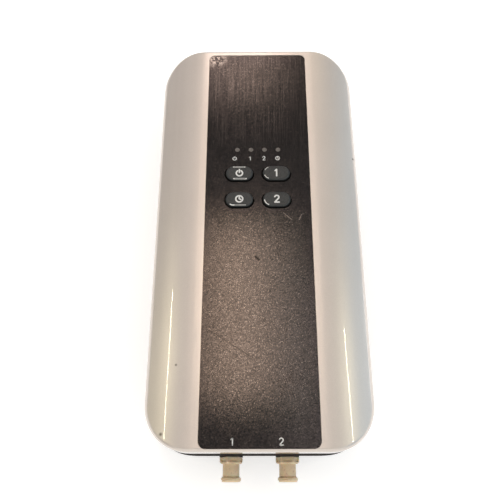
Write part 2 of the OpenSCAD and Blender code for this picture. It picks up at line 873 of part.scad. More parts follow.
module port_fitting(i, turn) color("#c4ab84") housed()
    translate([port_x[i], 0, port_z]) {
        collar_near_y = near_y - collar_l;
        tip_y = near_y - port_out;
        difference() {
            union() {
                collar(turn, collar_near_y, seal_near_y);
                turned_y(concat(
                    [
                        for (j = [0:tip_edge_steps])
                            let (a = 90 * j / tip_edge_steps)
                                [lug_r - tip_edge_r * (1 - sin(a)), tip_y + tip_edge_r * (1 - cos(a))]
                    ],
                    [
                        [lug_r, tip_y + lug_l - lug_slope],
                        [neck_r, tip_y + lug_l],
                        [neck_r, collar_near_y + fit]
                    ]
                ));
                rod_y(thread_r, seal_near_y - fit, port_stub_y);
                rod_y(nipple_r, port_stub_y - fit, port_stub_y + nipple_l);
            }
            thread_groove(tip_y);
            rod_y(socket_r, tip_y - over, tip_y + socket_l);
            rod_y(lumen_r, tip_y, port_stub_y + nipple_l + over);
        }
    }

module port_1_fitting() port_fitting(0, collar_turn_1);
module port_2_fitting() port_fitting(1, collar_turn_2);

module port_seals() color("#1d1b1a") housed()
    for (x = port_x)
        translate([x, 0, port_z])
            difference() {
                rod_y(collar_w / 2, seal_near_y, seat_y);
                rod_y(thread_r + slip, seal_near_y - over, seat_y + over);
            }

module port_nuts() color("#b9b2a2") housed()
    for (x = port_x)
        translate([x, 0, port_z])
            difference() {
                translate([0, near_y + wall, 0]) rotate([-90, 0, 0]) cylinder(h = nut_t, r = nut_w / 2, $fn = 6);
                rod_y(thread_r + thread_fit, near_y, near_y + wall + nut_t + over);
            }

module port_tubes() color("#d9dcd8") housed()
    for (x = port_x)
        translate([x, 0, port_z]) air_tube(port_stub_y + 0.3, port_stub_y + 0.3 + tube_l);

// ---------- Valves and manifold ----------

module valve_body(i) color("#2d4f86") housed()
    translate([port_x[i], 0, port_z])
        difference() {
            union() {
                block([-valve_w / 2, valve_y, -valve_h / 2], [valve_w / 2, valve_far_y, valve_h / 2]);
                rod_y(nipple_r, valve_y - nipple_l, valve_y + fit);
            }
            rod_y(plunger_r + slip, plunger_y, valve_far_y + over);
            rod_y(lumen_r / 2, valve_y - nipple_l, plunger_y + over);
            rod_y(lumen_r, valve_y - nipple_l - over, valve_y + valve_seat / 2);
            // wound middle of the coil stands back from the end plates
            for (side = [-1, 1])
                translate([side * (valve_w / 2 + over - 1), 0, 0])
                    block([-over, valve_y + 3, -valve_h / 2 + 3], [over, valve_far_y - 3, valve_h / 2 - 3]);
        }

module valve_plunger(i) color("#b4b6ba") housed()
    translate([port_x[i], 0, port_z])
        difference() {
            rod_y(plunger_r, plunger_y, plunger_y + plunger_l);
            rod_y(spring_r + slip, plunger_y + plunger_l - spring_pocket, plunger_y + plunger_l + over);
            // flat that lets the air past
            block([-plunger_r, plunger_y + 1.2, plunger_r * 0.8],
                [plunger_r, plunger_y + plunger_l + over, plunger_r + over]);
        }

module valve_spring(i) color("#a7a9ad") housed()
    translate([port_x[i], 0, port_z])
        difference() {
            rod_y(spring_r, plunger_y + plunger_l - spring_pocket, core_y);
            rod_y(spring_r - spring_wire, plunger_y, core_y + over);
        }

module valve_core(i) color("#c3c5c8") housed()
    translate([port_x[i], 0, port_z])
        difference() {
            union() {
                rod_y(plunger_r, core_y, valve_far_y + fit);
                rod_y(nipple_r, valve_far_y, valve_far_y + nipple_l);
                rod_y(plunger_r + 1.4, valve_far_y, valve_far_y + 0.25);
            }
            rod_y(lumen_r * 0.7, core_y - over, valve_far_y + nipple_l + over);
        }

module valve_1_body() valve_body(0);
module valve_1_plunger() valve_plunger(0);
module valve_1_spring() valve_spring(0);
module valve_1_core() valve_core(0);
module valve_2_body() valve_body(1);
module valve_2_plunger() valve_plunger(1);
module valve_2_spring() valve_spring(1);
module valve_2_core() valve_core(1);

module valve_tubes() color("#d9dcd8") housed()
    for (x = port_x)
        translate([x, 0, port_z]) air_tube(valve_far_y + 0.3, valve_far_y + 0.3 + tube_l);

module air_manifold() color("#e2ded2") housed()
    translate([0, 0, port_z])
        difference() {
            union() {
                block([-manifold_w / 2, manifold_y, -manifold_h / 2],
                    [manifold_w / 2, manifold_y + manifold_l, manifold_h / 2]);
                for (x = port_x) translate([x, 0, 0]) rod_y(nipple_r, manifold_y - nipple_l, manifold_y + fit);
                translate([outlet_x, 0, 0])
                    rod_y(nipple_r, manifold_y + manifold_l - fit, manifold_y + manifold_l + nipple_l);
            }
            for (x = port_x)
                translate([x, 0, 0]) rod_y(lumen_r, manifold_y - nipple_l - over, manifold_y + manifold_l / 2);
            translate([outlet_x, 0, 0])
                rod_y(lumen_r, manifold_y + manifold_l / 2, manifold_y + manifold_l + nipple_l + over);
            translate([0, manifold_y + manifold_l / 2, 0])
                rod_x(lumen_r, -port_pitch / 2, port_pitch / 2);
            translate([0, manifold_y + manifold_l / 2, 0])
                cylinder(h = manifold_h, r = lumen_r + slip);
        }

module pressure_sensor() color("#27282a") housed()
    translate([0, manifold_y + manifold_l / 2, port_z + manifold_h / 2]) {
        translate([-sensor_w / 2, -sensor_w / 2, 0]) cube([sensor_w, sensor_w, sensor_h]);
        translate([0, 0, -2.5]) cylinder(h = 2.5 + fit, r = lumen_r);
    }

module pump_tube() color("#d9dcd8") housed()
    translate([outlet_x, 0, port_z])
        air_tube(manifold_y + manifold_l + 0.3, manifold_y + manifold_l + 0.3 + tube_l);

// ---------- Pump ----------

// The four screw places of the pump head, as axes along X
module at_head_screws() {
    for (y = [-1, 1], z = [-1, 1])
        translate([0, pump_mid_y + y * head_screw_y, pump_z + z * head_screw_z]) children();
}

module pump_body() color("#3d3d40") housed()
    difference() {
        block([face_x, pump_y, pump_z - motor_r], [pump_x + pump_right, motor_y, pump_z + motor_r]);
        translate([pump_x, 0, pump_z]) {
            rod_y(crank_r, pump_y - over, motor_y - crank_wall);
            rod_y(motor_boss_r + fit, motor_y - crank_wall - over, motor_y + over);
        }
        translate([0, pump_mid_y, pump_z]) rod_x(chamber_r, face_x - over, pump_x);
        at_head_screws() rod_x(head_screw_r + thread_fit, face_x - over, face_x + head_screw_bite);
    }

module crank_cover() color("#5b5d61") housed() {
    block([face_x, pump_y - cover_t, pump_z - motor_r], [pump_x + pump_right, pump_y, pump_z + motor_r]);
    translate([pump_x, 0, pump_z])
        difference() {
            rod_y(crank_r - fit, pump_y - fit, pump_y + cover_plug);
            rod_y(crank_r - cover_t, pump_y, pump_y + cover_plug + over);
        }
}

module pump_head() color("#4a4b4f") housed()
    difference() {
        union() {
            block([head_x, pump_y, pump_z - motor_r], [face_x - diaphragm_t, motor_y, pump_z + motor_r]);
            translate([outlet_x, 0, port_z]) rod_y(nipple_r, pump_y - nipple_l, pump_y + fit);
            translate([outlet_x, 0, intake_z]) rod_y(nipple_r, pump_y - nipple_l / 2, pump_y + fit);
        }
        translate([0, pump_mid_y, pump_z])
            rod_x(chamber_r, face_x - diaphragm_t - chamber_l, face_x);
        for (z = [port_z, intake_z])
            translate([outlet_x, 0, z]) {
                rod_y(lumen_r, pump_y - nipple_l - over, pump_mid_y);
                translate([0, pump_mid_y - lumen_r, 0]) rod_x(lumen_r, 0, chamber_l);
            }
        at_head_screws() rod_x(head_screw_r + 2 * fit, head_x - over, face_x);
    }

module diaphragm() color("#18181a") housed()
    difference() {
        union() {
            difference() {
                block([face_x - diaphragm_t, pump_y, pump_z - motor_r], [face_x, motor_y, pump_z + motor_r]);
                translate([0, pump_mid_y, pump_z])
                    rod_x(chamber_r + 0.4, face_x - diaphragm_t - over, face_x + over);
            }
            // the middle stands out by the crank's throw, on a cone that flexes
            translate([face_x, pump_mid_y, pump_z])
                rotate([0, -90, 0])
                    rotate_extrude()
                        polygon([
                            [clamp_screw_r + fit, crank_e], [rod_plate_r, crank_e],
                            [chamber_r - 0.2, 0], [chamber_r + 0.8, 0],
                            [chamber_r + 0.8, diaphragm_t], [chamber_r - 0.2, diaphragm_t],
                            [rod_plate_r, diaphragm_t + crank_e], [clamp_screw_r + fit, diaphragm_t + crank_e]
                        ]);
        }
        at_head_screws() rod_x(head_screw_r + 2 * fit, head_x, face_x + over);
    }

module diaphragm_clamp() color("#b8babd") housed()
    translate([face_x - diaphragm_t - crank_e, pump_mid_y, pump_z]) {
        rod_x(clamp_r, -clamp_t, 0);
        rod_x(clamp_head_r, -clamp_t - clamp_head_h, -clamp_t + fit);
        rod_x(clamp_screw_r, -clamp_t, diaphragm_t + rod_plate_t + clamp_screw_bite);
    }

module pump_screws() color("#9a9a9c") housed()
    at_head_screws()
        translate([head_x, 0, 0])
            rotate([0, 90, 0])
                screw(head_screw_r, head_t + diaphragm_t + head_screw_bite - 4 * fit, 1.9, 1.3);

module connecting_rod() color("#dcd9d0") housed()
    translate([pump_x - crank_e, pump_mid_y, pump_z])
        difference() {
            union() {
                rod_y(rod_ring_r, -rod_w / 2, rod_w / 2);
                block([-pump_left, -rod_w / 2, -rod_h / 2], [-eccentric_r - rod_ring_t / 2, rod_w / 2, rod_h / 2]);
                rod_x(rod_plate_r, -pump_left, rod_plate_t - pump_left);
            }
            rod_y(eccentric_r + slip, -rod_w, rod_w);
            rod_x(clamp_screw_r + thread_fit, -pump_left - over, rod_plate_t + clamp_screw_bite + 2 * fit - pump_left);
        }

module eccentric() color("#a98f4e") housed()
    translate([pump_x, pump_mid_y, pump_z])
        difference() {
            union() {
                translate([-crank_e, 0, 0])
                    rod_y(eccentric_r, -rod_w / 2 - eccentric_lip, rod_w / 2 + eccentric_lip + fit);
                rod_y(hub_r, rod_w / 2 + eccentric_lip, hub_far_y);
                intersection() {
                    rod_y(counterweight_r, rod_w / 2 + 2 * eccentric_lip, hub_far_y);
                    block([0, 0, -counterweight_r], [counterweight_r, hub_far_y + over, counterweight_r]);
                }
            }
            rod_y(shaft_r + thread_fit, -rod_w, hub_far_y + over);
        }

module pump_pad() color("#232324") housed()
    block([head_x, pump_y, floor_z], [pump_x + pump_right, motor_y, floor_z + pad_t]);

// ---------- Motor ----------

module motor_can() color("#b2b4b8") housed()
    translate([pump_x, 0, pump_z])
        difference() {
            union() {
                rod_y(motor_r, motor_y, motor_y + motor_l);
                rod_y(motor_boss_r, motor_y - motor_boss_l, motor_y + fit);
            }
            rod_y(motor_r - motor_wall, motor_y + motor_wall, motor_y + motor_l + over);
            rod_y(shaft_r + slip, motor_y - motor_boss_l - over, motor_y + 2 * over);
        }

module motor_end_cap() color("#e6e1d3") housed()
    translate([pump_x, 0, pump_z])
        difference() {
            union() {
                rod_y(motor_r - motor_wall - slip, motor_y + motor_l - cap_plug, motor_y + motor_l + fit);
                rod_y(motor_r, motor_y + motor_l, motor_y + motor_l + cap_t);
                // brush terminals
                for (x = [-1, 1])
                    block([x * lug_x - 1.2, motor_y + motor_l + cap_t - fit, -0.3],
                        [x * lug_x + 1.2, motor_lug_y, 0.3]);
            }
            rod_y(shaft_r + slip, motor_y, motor_y + motor_l + cap_t + over);
        }

module motor_magnets() color("#47484b") housed()
    translate([pump_x, motor_y + magnet_y, pump_z])
        rotate([-90, 0, 0])
            for (a = [0, 180])
                rotate([0, 0, a - 65])
                    rotate_extrude(angle = 130)
                        translate([motor_r - motor_wall - magnet_t, 0])
                            square([magnet_t - slip, motor_l - magnet_y - magnet_end]);

module motor_armature() color("#a5622f") housed()
    translate([pump_x, motor_y + armature_y, pump_z])
        difference() {
            union() {
                rod_y(armature_r, 0, armature_l);
                rod_y(commutator_r, 0, armature_l + commutator_l);
            }
            rod_y(shaft_r + thread_fit, -over, motor_l);
            // slots between the three wound poles
            for (a = [0, 120, 240])
                rotate([0, a, 0])
                    block([-0.8, -over, commutator_r + 1], [0.8, armature_l + over, armature_r + over]);
        }

module motor_shaft() color("#d0d1d3") housed()
    translate([pump_x, 0, pump_z])
        rod_y(shaft_r, pump_mid_y - rod_w / 2 - eccentric_lip, motor_y + motor_l + cap_t + eccentric_lip);

module motor_strap() color("#b9bbbe") housed()
    translate([pump_x, strap_y, pump_z]) {
        difference() {
            rod_y(motor_r + slip + strap_t, -strap_w / 2, strap_w / 2);
            rod_y(motor_r + slip, -strap_w, strap_w);
            block([-2 * motor_r, -strap_w, -2 * motor_r], [2 * motor_r, strap_w, 0]);
        }
        // ears, each on its post
        for (side = [0, 1])
            mirror([side, 0, 0])
                difference() {
                    block([motor_r + slip + strap_t / 2, -strap_w / 2, 0],
                        [strap_reach + strap_post_r, strap_w / 2, strap_t]);
                    translate([strap_reach, 0, -over])
                        cylinder(h = strap_t + 2 * over, r = strap_screw_r + 2 * fit);
                }
    }

module strap_screws() color("#9a9a9c") housed()
    for (side = [-1, 1])
        translate([pump_x + side * strap_reach, strap_y, pump_z + strap_t])
            mirror([0, 0, 1]) screw(strap_screw_r, strap_screw_l, 2.2, 1.5);

// ---------- Power inlet ----------

module power_jack() color("#1b1b1c") housed()
    translate([jack_x, 0, jack_z])
        difference() {
            union() {
                block([-jack_w / 2, far_y - wall - jack_l, -jack_h / 2], [jack_w / 2, far_y - wall, jack_h / 2]);
                rod_y(jack_nose_r, far_y - wall - fit, jack_face_y);
            }
            rod_y(jack_bore_r, jack_face_y - jack_bore_l, jack_face_y + over);
        }

module power_jack_pin() color("#c9cacc") housed()
    translate([jack_x, 0, jack_z])
        rod_y(jack_pin_r, jack_face_y - jack_bore_l, jack_face_y - jack_bore_l + jack_pin_l);

// ---------- Wiring ----------

function catmull(a, b, c, d, t) =
    0.5 * (2 * b + (c - a) * t + (2 * a - 5 * b + 4 * c - d) * t * t + (3 * b - a - 3 * c + d) * t * t * t);

// Smooth line through the points p, with steps parts to each stretch
function smooth_line(p, steps) = let (last = len(p) - 1) [
    for (i = [0:last - 1], k = [0:steps - 1])
        catmull(p[max(i - 1, 0)], p[i], p[i + 1], p[min(i + 2, last)], k / steps),
    p[last]
];

function unit(v) = v / norm(v);

// One solid tube of radius r along the points of line, with its ends square to first and final
module wire(line, r, first, final) {
    last = len(line) - 1;
    guide = unit([1, -1, 1]);
    points = [
        for (i = [0:last])
            let (
                along = i == 0 ? first : i == last ? final : unit(line[i + 1] - line[i - 1]),
                side = unit(cross(along, guide)),
                up = cross(side, along)
            )
            for (k = [0:wire_sides - 1])
                line[i] + r * (cos(360 * k / wire_sides) * side + sin(360 * k / wire_sides) * up)
    ];
    skin = [
        for (i = [0:last - 1], k = [0:wire_sides - 1])
            let (a = i * wire_sides + k, b = i * wire_sides + (k + 1) % wire_sides)
            for (face = [[a, b, b + wire_sides], [a, b + wire_sides, a + wire_sides]]) face
    ];
    near_end = [for (k = [wire_sides - 1:-1:0]) k];
    far_end = [for (k = [0:wire_sides - 1]) last * wire_sides + k];
    polyhedron(points, concat([near_end], skin, [far_end]));
}

// Two wires from their terminals, terminal_gap apart, along the points to a place in the header.
// Both ends leave square to the face that they meet.
module lead(terminal, leaving, terminal_gap, points, place, aside = wire_aside) {
    seat = [header_x + (place - (lead_count - 1) / 2) * lead_pitch, header_y, header_low_z];
    for (side = [-1, 1]) {
        start = terminal + [side * terminal_gap / 2, 0, 0];
        end = seat + [side * wire_gap / 2, 0, 0];
        route = concat(
            [start, start + 3 * leaving],
            [for (point = points) point + side * aside],
            [end - [0, 0, 3], end]
        );
        wire(smooth_line(route, wire_steps), wire_r, leaving, [0, 0, 1]);
    }
}

// Point of the bundle that runs past the pump, for the lead in this place of the header
function bundle(place, y) = [head_x - bundle_gap + place * lead_pitch, y, bundle_z];

function past_pump(place) = [bundle(place, pump_mid_y), bundle(place, board_near_y + board_l / 2)];

module motor_leads() color("#b5342b") housed()
    lead([pump_x, motor_lug_y, pump_z], [0, 1, 0], 2 * lug_x,
        [[pump_x - lug_x, header_y + header_w / 2, pump_z + lug_reach]], 4);

module jack_leads() color("#2a2a2c") housed()
    lead([jack_x, jack_back_y, jack_z], [0, -1, 0], jack_w / 2,
        [
            [jack_x, jack_back_y - jack_l, jack_z],
            [header_x, header_y + 2 * header_w, bundle_z]
        ], 3, jack_wire_aside);

module valve_leads() color("#d7cfa6") housed() {
    lead([port_x[0], valve_far_y - 3, valve_lead_z], [0, 0, 1], 3,
        concat([bundle(0, pump_y - nipple_l - lead_pitch)], past_pump(0)), 0);
    lead([port_x[1], valve_far_y - 3, valve_lead_z], [0, 0, 1], 3,
        concat([
            [2, valve_far_y + 3, valve_lead_z + lead_pitch],
            [port_x[0], manifold_y, valve_lead_z + lead_pitch],
            bundle(1, pump_y - nipple_l)
        ], past_pump(1)), 1);
}

module sensor_leads() color("#5a7d56") housed()
    lead([0, manifold_y + manifold_l / 2, sensor_lead_z], [0, 0, 1], 3,
        concat([
            [-5, manifold_y + manifold_l - 2, sensor_lead_z + 4],
            bundle(2, pump_y - nipple_l / 2)
        ], past_pump(2)), 2);

top_cover();
bottom_cover();
control_panel();
rubber_feet();
case_screws();
power_button();
timer_button();
port_1_button();
port_2_button();
power_plunger();
timer_plunger();
port_1_plunger();
port_2_plunger();
tact_switches();
indicator_windows();
indicator_leds();
control_board();
board_screws();
microcontroller();
capacitors();
wire_header();
port_1_fitting();
port_2_fitting();
port_seals();
port_nuts();
port_tubes();
valve_1_body();
valve_1_plunger();
valve_1_spring();
valve_1_core();
valve_2_body();
valve_2_plunger();
valve_2_spring();
valve_2_core();
valve_tubes();
air_manifold();
pressure_sensor();
pump_tube();
pump_body();
crank_cover();
pump_head();
pump_screws();
pump_pad();
diaphragm();
diaphragm_clamp();
connecting_rod();
eccentric();
motor_can();
motor_end_cap();
motor_magnets();
motor_armature();
motor_shaft();
motor_strap();
strap_screws();
power_jack();
power_jack_pin();
motor_leads();
jack_leads();
valve_leads();
sensor_leads();
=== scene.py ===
"""Compression therapy pump: the finished look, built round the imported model.

Lengths are written in millimetres and turned into metres by MM. The pump lies on its feet, its
air ports point along -Y, and its keys are read from that side.
"""

import json
import math

import bmesh
import bpy
from mathutils import Matrix, Vector

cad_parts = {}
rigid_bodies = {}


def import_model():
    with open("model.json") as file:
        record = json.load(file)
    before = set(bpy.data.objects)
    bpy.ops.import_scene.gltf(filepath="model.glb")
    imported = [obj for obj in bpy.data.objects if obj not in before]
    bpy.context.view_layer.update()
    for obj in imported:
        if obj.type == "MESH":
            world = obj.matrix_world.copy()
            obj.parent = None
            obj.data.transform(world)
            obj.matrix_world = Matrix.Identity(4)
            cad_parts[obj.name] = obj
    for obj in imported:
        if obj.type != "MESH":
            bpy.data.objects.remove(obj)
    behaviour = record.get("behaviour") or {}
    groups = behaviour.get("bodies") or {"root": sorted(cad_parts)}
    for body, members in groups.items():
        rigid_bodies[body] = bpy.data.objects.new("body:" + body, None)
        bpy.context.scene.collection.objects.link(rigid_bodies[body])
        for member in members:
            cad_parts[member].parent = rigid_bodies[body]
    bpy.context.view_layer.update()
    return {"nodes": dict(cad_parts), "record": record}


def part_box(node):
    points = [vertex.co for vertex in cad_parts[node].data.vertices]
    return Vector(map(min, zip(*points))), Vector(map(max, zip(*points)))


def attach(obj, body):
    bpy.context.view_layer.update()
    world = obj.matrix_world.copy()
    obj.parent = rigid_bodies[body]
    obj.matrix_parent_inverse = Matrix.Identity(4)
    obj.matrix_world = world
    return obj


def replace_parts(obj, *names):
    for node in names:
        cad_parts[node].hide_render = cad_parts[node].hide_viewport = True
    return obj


MM = 0.001
IMAGE_PX = 500
SENSOR_MM = 36

# Camera: where it stands, how it is turned, and its focal length in pixels of the image
CAMERA_PLACE = (-1.64, -94.62, 256.83)
CAMERA_ELEVATION = 67.79
CAMERA_YAW = 1.10
CAMERA_ROLL = -1.25
CAMERA_FOCAL_PX = 585.58

# Carried-over nodes: vertices closer than this (in metres) are one, and an edge that turns by more
# than this (in degrees) stays sharp
WELD_DISTANCE = 2e-6
SHARP_TURN = 28

# Height at which the silver of the top cover ends
LID_LOW_Z = 34.2

# Keys: length and width, the radius of the top's edge, how far the middle of the top stands above
# that edge, and how deep a cap reaches below the panel's face
KEY_SIZE = (11.4, 6.8)
KEY_HALF = (KEY_SIZE[0] - KEY_SIZE[1]) / 2
KEY_END_R = KEY_SIZE[1] / 2
KEY_EDGE_R = 0.8
KEY_CROWN = 0.05
KEY_SKIRT = 1.6
CAP_RINGS = 8
CAP_MIDDLE = 0.02

# Painted highlights on the keys' rims, and painted shadow lines just outside the keys
RIM_HIGHLIGHT_INSET = 0.62
GAP_SHADOW_OUT = 0.32
GAP_SHADOW_W = 0.42

# Prints: thickness, sides of a line's round end, height and line width of each kind, and where
# the labels stand
PRINT_T = 0.03
END_SIDES = 12
LEGEND_SIZE = (3.1, 0.62)
LED_LABEL_SIZE = (1.75, 0.34)
PORT_LABEL_SIZE = (2.35, 0.4)
LED_LABEL_Y = 35.15
PORT_LABEL_Y = -79.25

# Marks on the cover: place (x, y) and reach. Marks on the panel: ends, reach and strength
COVER_SPECKS = (((41.2, 37.4), 0.75), ((-30.7, -52.2), 0.7), ((-35.2, -76.6), 1))
PANEL_SCRATCHES = (
    ((-1.2, -9.6), (0.2, -11.0), 0.7, 0.9),
    ((-18.7, -39.3), (-3.6, -49), 0.3, 0.5),
)
PANEL_RUBS = (
    ((10.3, 9.5), (13.5, 6.5), 0.3, 0.35),
    ((16.6, 6.4), (17.6, 8.6), 0.35, 0.5),
    ((17.6, 8.6), (18.6, 9.2), 0.3, 0.4),
)

# Light: the floor's own glow, the level at the horizon, and the height of the way (its z) from
# which the sky gives way to that level
FLOOR_GLOW = 0.52
HORIZON_LEVEL = 0.95
HORIZON_Z = (0.2, 0.06)
LINE_COLOUR = (1, 0.95, 0.68)
# The sky from left to right: x of the way to it, and its colour there
SKY = (
    (-1, (0.34, 0.33, 0.335)),
    (-0.78, (0.39, 0.37, 0.375)),
    (-0.5, (0.62, 0.58, 0.575)),
    (-0.25, (0.59, 0.555, 0.54)),
    (0, (0.57, 0.545, 0.535)),
    (0.3, (0.585, 0.56, 0.55)),
    (0.55, (0.56, 0.545, 0.53)),
    (0.8, (0.5, 0.63, 0.74)),
    (1, (0.54, 0.7, 0.84)),
)
# Soft lights: colour, and x and y of the way to them as (start, full, last full, end)
WINDOWS = (
    ((3.6, 2.6, 1.8), (-0.135, -0.06, -0.04, 0.07), (0.122, 0.148, 0.385, 0.455)),
    ((3.25, 2.8, 2.45), (-0.12, -0.03, 0, 0.12), (0.122, 0.148, 0.385, 0.455)),
    ((6.7, 5.25, 4.6), (-0.145, -0.04, -0.01, 0.09), (0.56, 0.67, 0.72, 0.82)),
    ((1.5, 1.35, 1.3), (0.048, 0.072, 0.098, 0.122), (-0.13, 0, 0.25, 0.39)),
    ((0.35, 0.26, 0.12), (0.04, 0.14, 0.35, 0.5), (0.55, 0.65, 0.8, 0.9)),
    ((0.25, 0.23, 0.08), (-1.2, -1, -0.8, -0.6), (-0.3, 0, 0.12, 0.42)),
    ((0.1, 0.11, 0.12), (0.5, 0.7, 1, 1.2), (-0.28, -0.04, 0.16, 0.4)),
    ((0.55, 0.53, 0.48), (-1, -0.5, 0.5, 1), (-1.2, -0.9, -0.5, -0.2)),
)


# ---------------------------------------------------------------- materials


class Nodes:
    """Builds nodes in one node tree."""

    def __init__(self, tree):
        self.tree = tree

    def add(self, kind, inputs=None, **attributes):
        node = self.tree.nodes.new(kind)
        for name, value in attributes.items():
            setattr(node, name, value)
        for name, value in (inputs or {}).items():
            self.feed(node.inputs[name], value)
        return node

    def feed(self, socket, value):
        if isinstance(value, bpy.types.NodeSocket):
            self.tree.links.new(value, socket)
        else:
            socket.default_value = value

    def ramp(self, value, start, end, low=0, high=1):
        inputs = {"Value": value, 1: start, 2: end, 3: low, 4: high}
        return self.add("ShaderNodeMapRange", inputs, interpolation_type="SMOOTHSTEP").outputs[0]

    def ramp_plain(self, value, start, end):
        return self.add("ShaderNodeMapRange", {"Value": value, 1: start, 2: end}).outputs[0]

    def sum(self, a, b, operation="ADD"):
        return self.add("ShaderNodeMath", {0: a, 1: b}, operation=operation).outputs[0]

    def times(self, a, b):
        return self.sum(a, b, "MULTIPLY")

    def vector(self, a, b, operation="ADD"):
        return self.add("ShaderNodeVectorMath", {0: a, 1: b}, operation=operation).outputs[0]

    def mix(self, factor, a, b):
        node = self.add("ShaderNodeMix", data_type="RGBA")
        for index, value in ((0, factor), (6, a), (7, b)):
            self.feed(node.inputs[index], value)
        return node.outputs[2]

    def measure(self, a, b, operation):
        """A number from two vectors."""
        return self.add("ShaderNodeVectorMath", {0: a, 1: b}, operation=operation).outputs["Value"]

    def scaled(self, vector, factor):
        inputs = {0: vector, "Scale": factor}
        return self.add("ShaderNodeVectorMath", inputs, operation="SCALE").outputs[0]

    def part(self, vector, name):
        """X, Y or Z of a vector."""
        return self.add("ShaderNodeSeparateXYZ", {0: vector}).outputs[name]


class Surface(Nodes):
    """A node material on one Principled shader. Its textures are measured in millimetres."""

    def __init__(self, name, colour, roughness, **sockets):
        self.material = bpy.data.materials.new(name)
        self.material.use_nodes = True
        super().__init__(self.material.node_tree)
        self.shader = self.tree.nodes["Principled BSDF"]
        self.set("Base Color", rgba(colour))
        self.set("Roughness", roughness)
        for socket, value in sockets.items():
            self.set(socket.replace("_", " "), value)
        place = self.add("ShaderNodeTexCoord").outputs["Object"]
        self.mm = self.scaled(place, 1 / MM)

    def set(self, name, value):
        self.feed(self.shader.inputs[name], value)

    def noise(self, per_mm, detail=2, stretch=(1, 1, 1)):
        """Noise, drawn out along each axis by its stretch."""
        place = self.vector(self.mm, [1 / s for s in stretch], "MULTIPLY")
        inputs = {"Vector": place, "Scale": per_mm, "Detail": detail}
        return self.add("ShaderNodeTexNoise", inputs).outputs[0]

    def cells(self, per_mm, output="Color"):
        inputs = {"Vector": self.mm, "Scale": per_mm}
        return self.add("ShaderNodeTexVoronoi", inputs).outputs[output]

    def normal(self):
        return self.add("ShaderNodeNewGeometry").outputs["Normal"]

    def flat(self):
        """The millimetre coordinates at height 0."""
        return self.vector(self.mm, (1, 1, 0), "MULTIPLY")

    def bumps(self, *heights):
        """Stacks (height, strength, distance in mm) bumps into the shader's normal."""
        normal = None
        for height, strength, distance in heights:
            inputs = {"Height": height, "Strength": strength, "Distance": distance * MM}
            if normal:
                inputs["Normal"] = normal
            normal = self.add("ShaderNodeBump", inputs).outputs[0]
        self.set("Normal", normal)

    def flakes(self, per_mm, tilt):
        """Tips the normal a little, each flake its own way."""
        flake = self.vector(self.cells(per_mm), (0.5, 0.5, 0.5), "SUBTRACT")
        tipped = self.vector(flake, (tilt, tilt, tilt), "MULTIPLY")
        self.set("Normal", self.vector(self.vector(self.normal(), tipped), (0, 0, 0), "NORMALIZE"))

    def near(self, point, reach):
        """1 at a point (x, y in mm), falling to 0 at this reach."""
        away = self.measure(self.flat(), (*point, 0), "DISTANCE")
        return self.ramp(away, 0, reach, 1, 0)

    def scratch(self, start, end, reach):
        """1 on a line between two points (x, y in mm), falling to 0 at this reach."""
        length = math.dist(start, end)
        way = (*[(b - a) / length for a, b in zip(start, end)], 0)
        from_start = self.vector(self.flat(), (*start, 0), "SUBTRACT")
        along = self.measure(from_start, way, "DOT_PRODUCT")
        along = self.sum(self.sum(along, 0, "MAXIMUM"), length, "MINIMUM")
        away = self.measure(from_start, self.scaled(way, along), "DISTANCE")
        return self.ramp(away, 0, reach, 1, 0)

    def worn_edge(self, reach=0.4):
        """1 along edges, falling to 0 at this reach in mm."""
        rounded = self.add("ShaderNodeBevel", {"Radius": reach * MM}, samples=4).outputs[0]
        same = self.measure(rounded, self.normal(), "DOT_PRODUCT")
        return self.ramp(same, 0.98, 0.78)

    def tint(self, colour, mask, strength, other):
        """A colour with some of another one (in 0 to 255) where the mask is 1."""
        return self.mix(self.times(mask, strength), colour, rgba(other))


def rgba(colour):
    """Linear colour with alpha, from sRGB in 0 to 255."""
    return (*[linear(c / 255) for c in colour], 1)


def linear(c):
    return c / 12.92 if c <= 0.04045 else ((c + 0.055) / 1.055) ** 2.4


def shade(colour, factor):
    return tuple(min(255, c * factor) for c in colour)


def pearl_paint():
    """Champagne-silver paint with fine flakes under a clear coat."""
    coat = {"Coat_Weight": 1.0, "Coat_Roughness": 0.03}
    s = Surface("pearl_paint", (211, 203, 196), 0.36, Metallic=0.65, **coat)
    cloud = s.noise(0.035, 3)
    colour = s.mix(cloud, rgba((206, 198, 190)), rgba((216, 208, 201)))
    flake = s.cells(5.5)
    colour = s.tint(colour, s.ramp(flake, 0.2, 0.95), 0.16, (240, 234, 226))
    band = s.noise(0.22, 2, (1, 60, 60))
    colour = s.tint(colour, s.ramp(band, 0.45, 0.75), 0.09, (176, 166, 155))
    colour = s.tint(colour, s.worn_edge(), 0.35, (228, 222, 214))
    for place, reach in COVER_SPECKS:
        colour = s.tint(colour, s.near(place, reach), 0.9, (70, 62, 52))
    s.set("Base Color", colour)
    scuff = s.ramp(s.noise(0.9, 4, (1, 7, 7)), 0.6, 0.72)
    s.set("Roughness", s.sum(s.times(scuff, 0.08), 0.36))
    s.bumps((flake, 0.06, 0.02), (s.noise(0.55, 1), 0.03, 0.05))
    return s.material


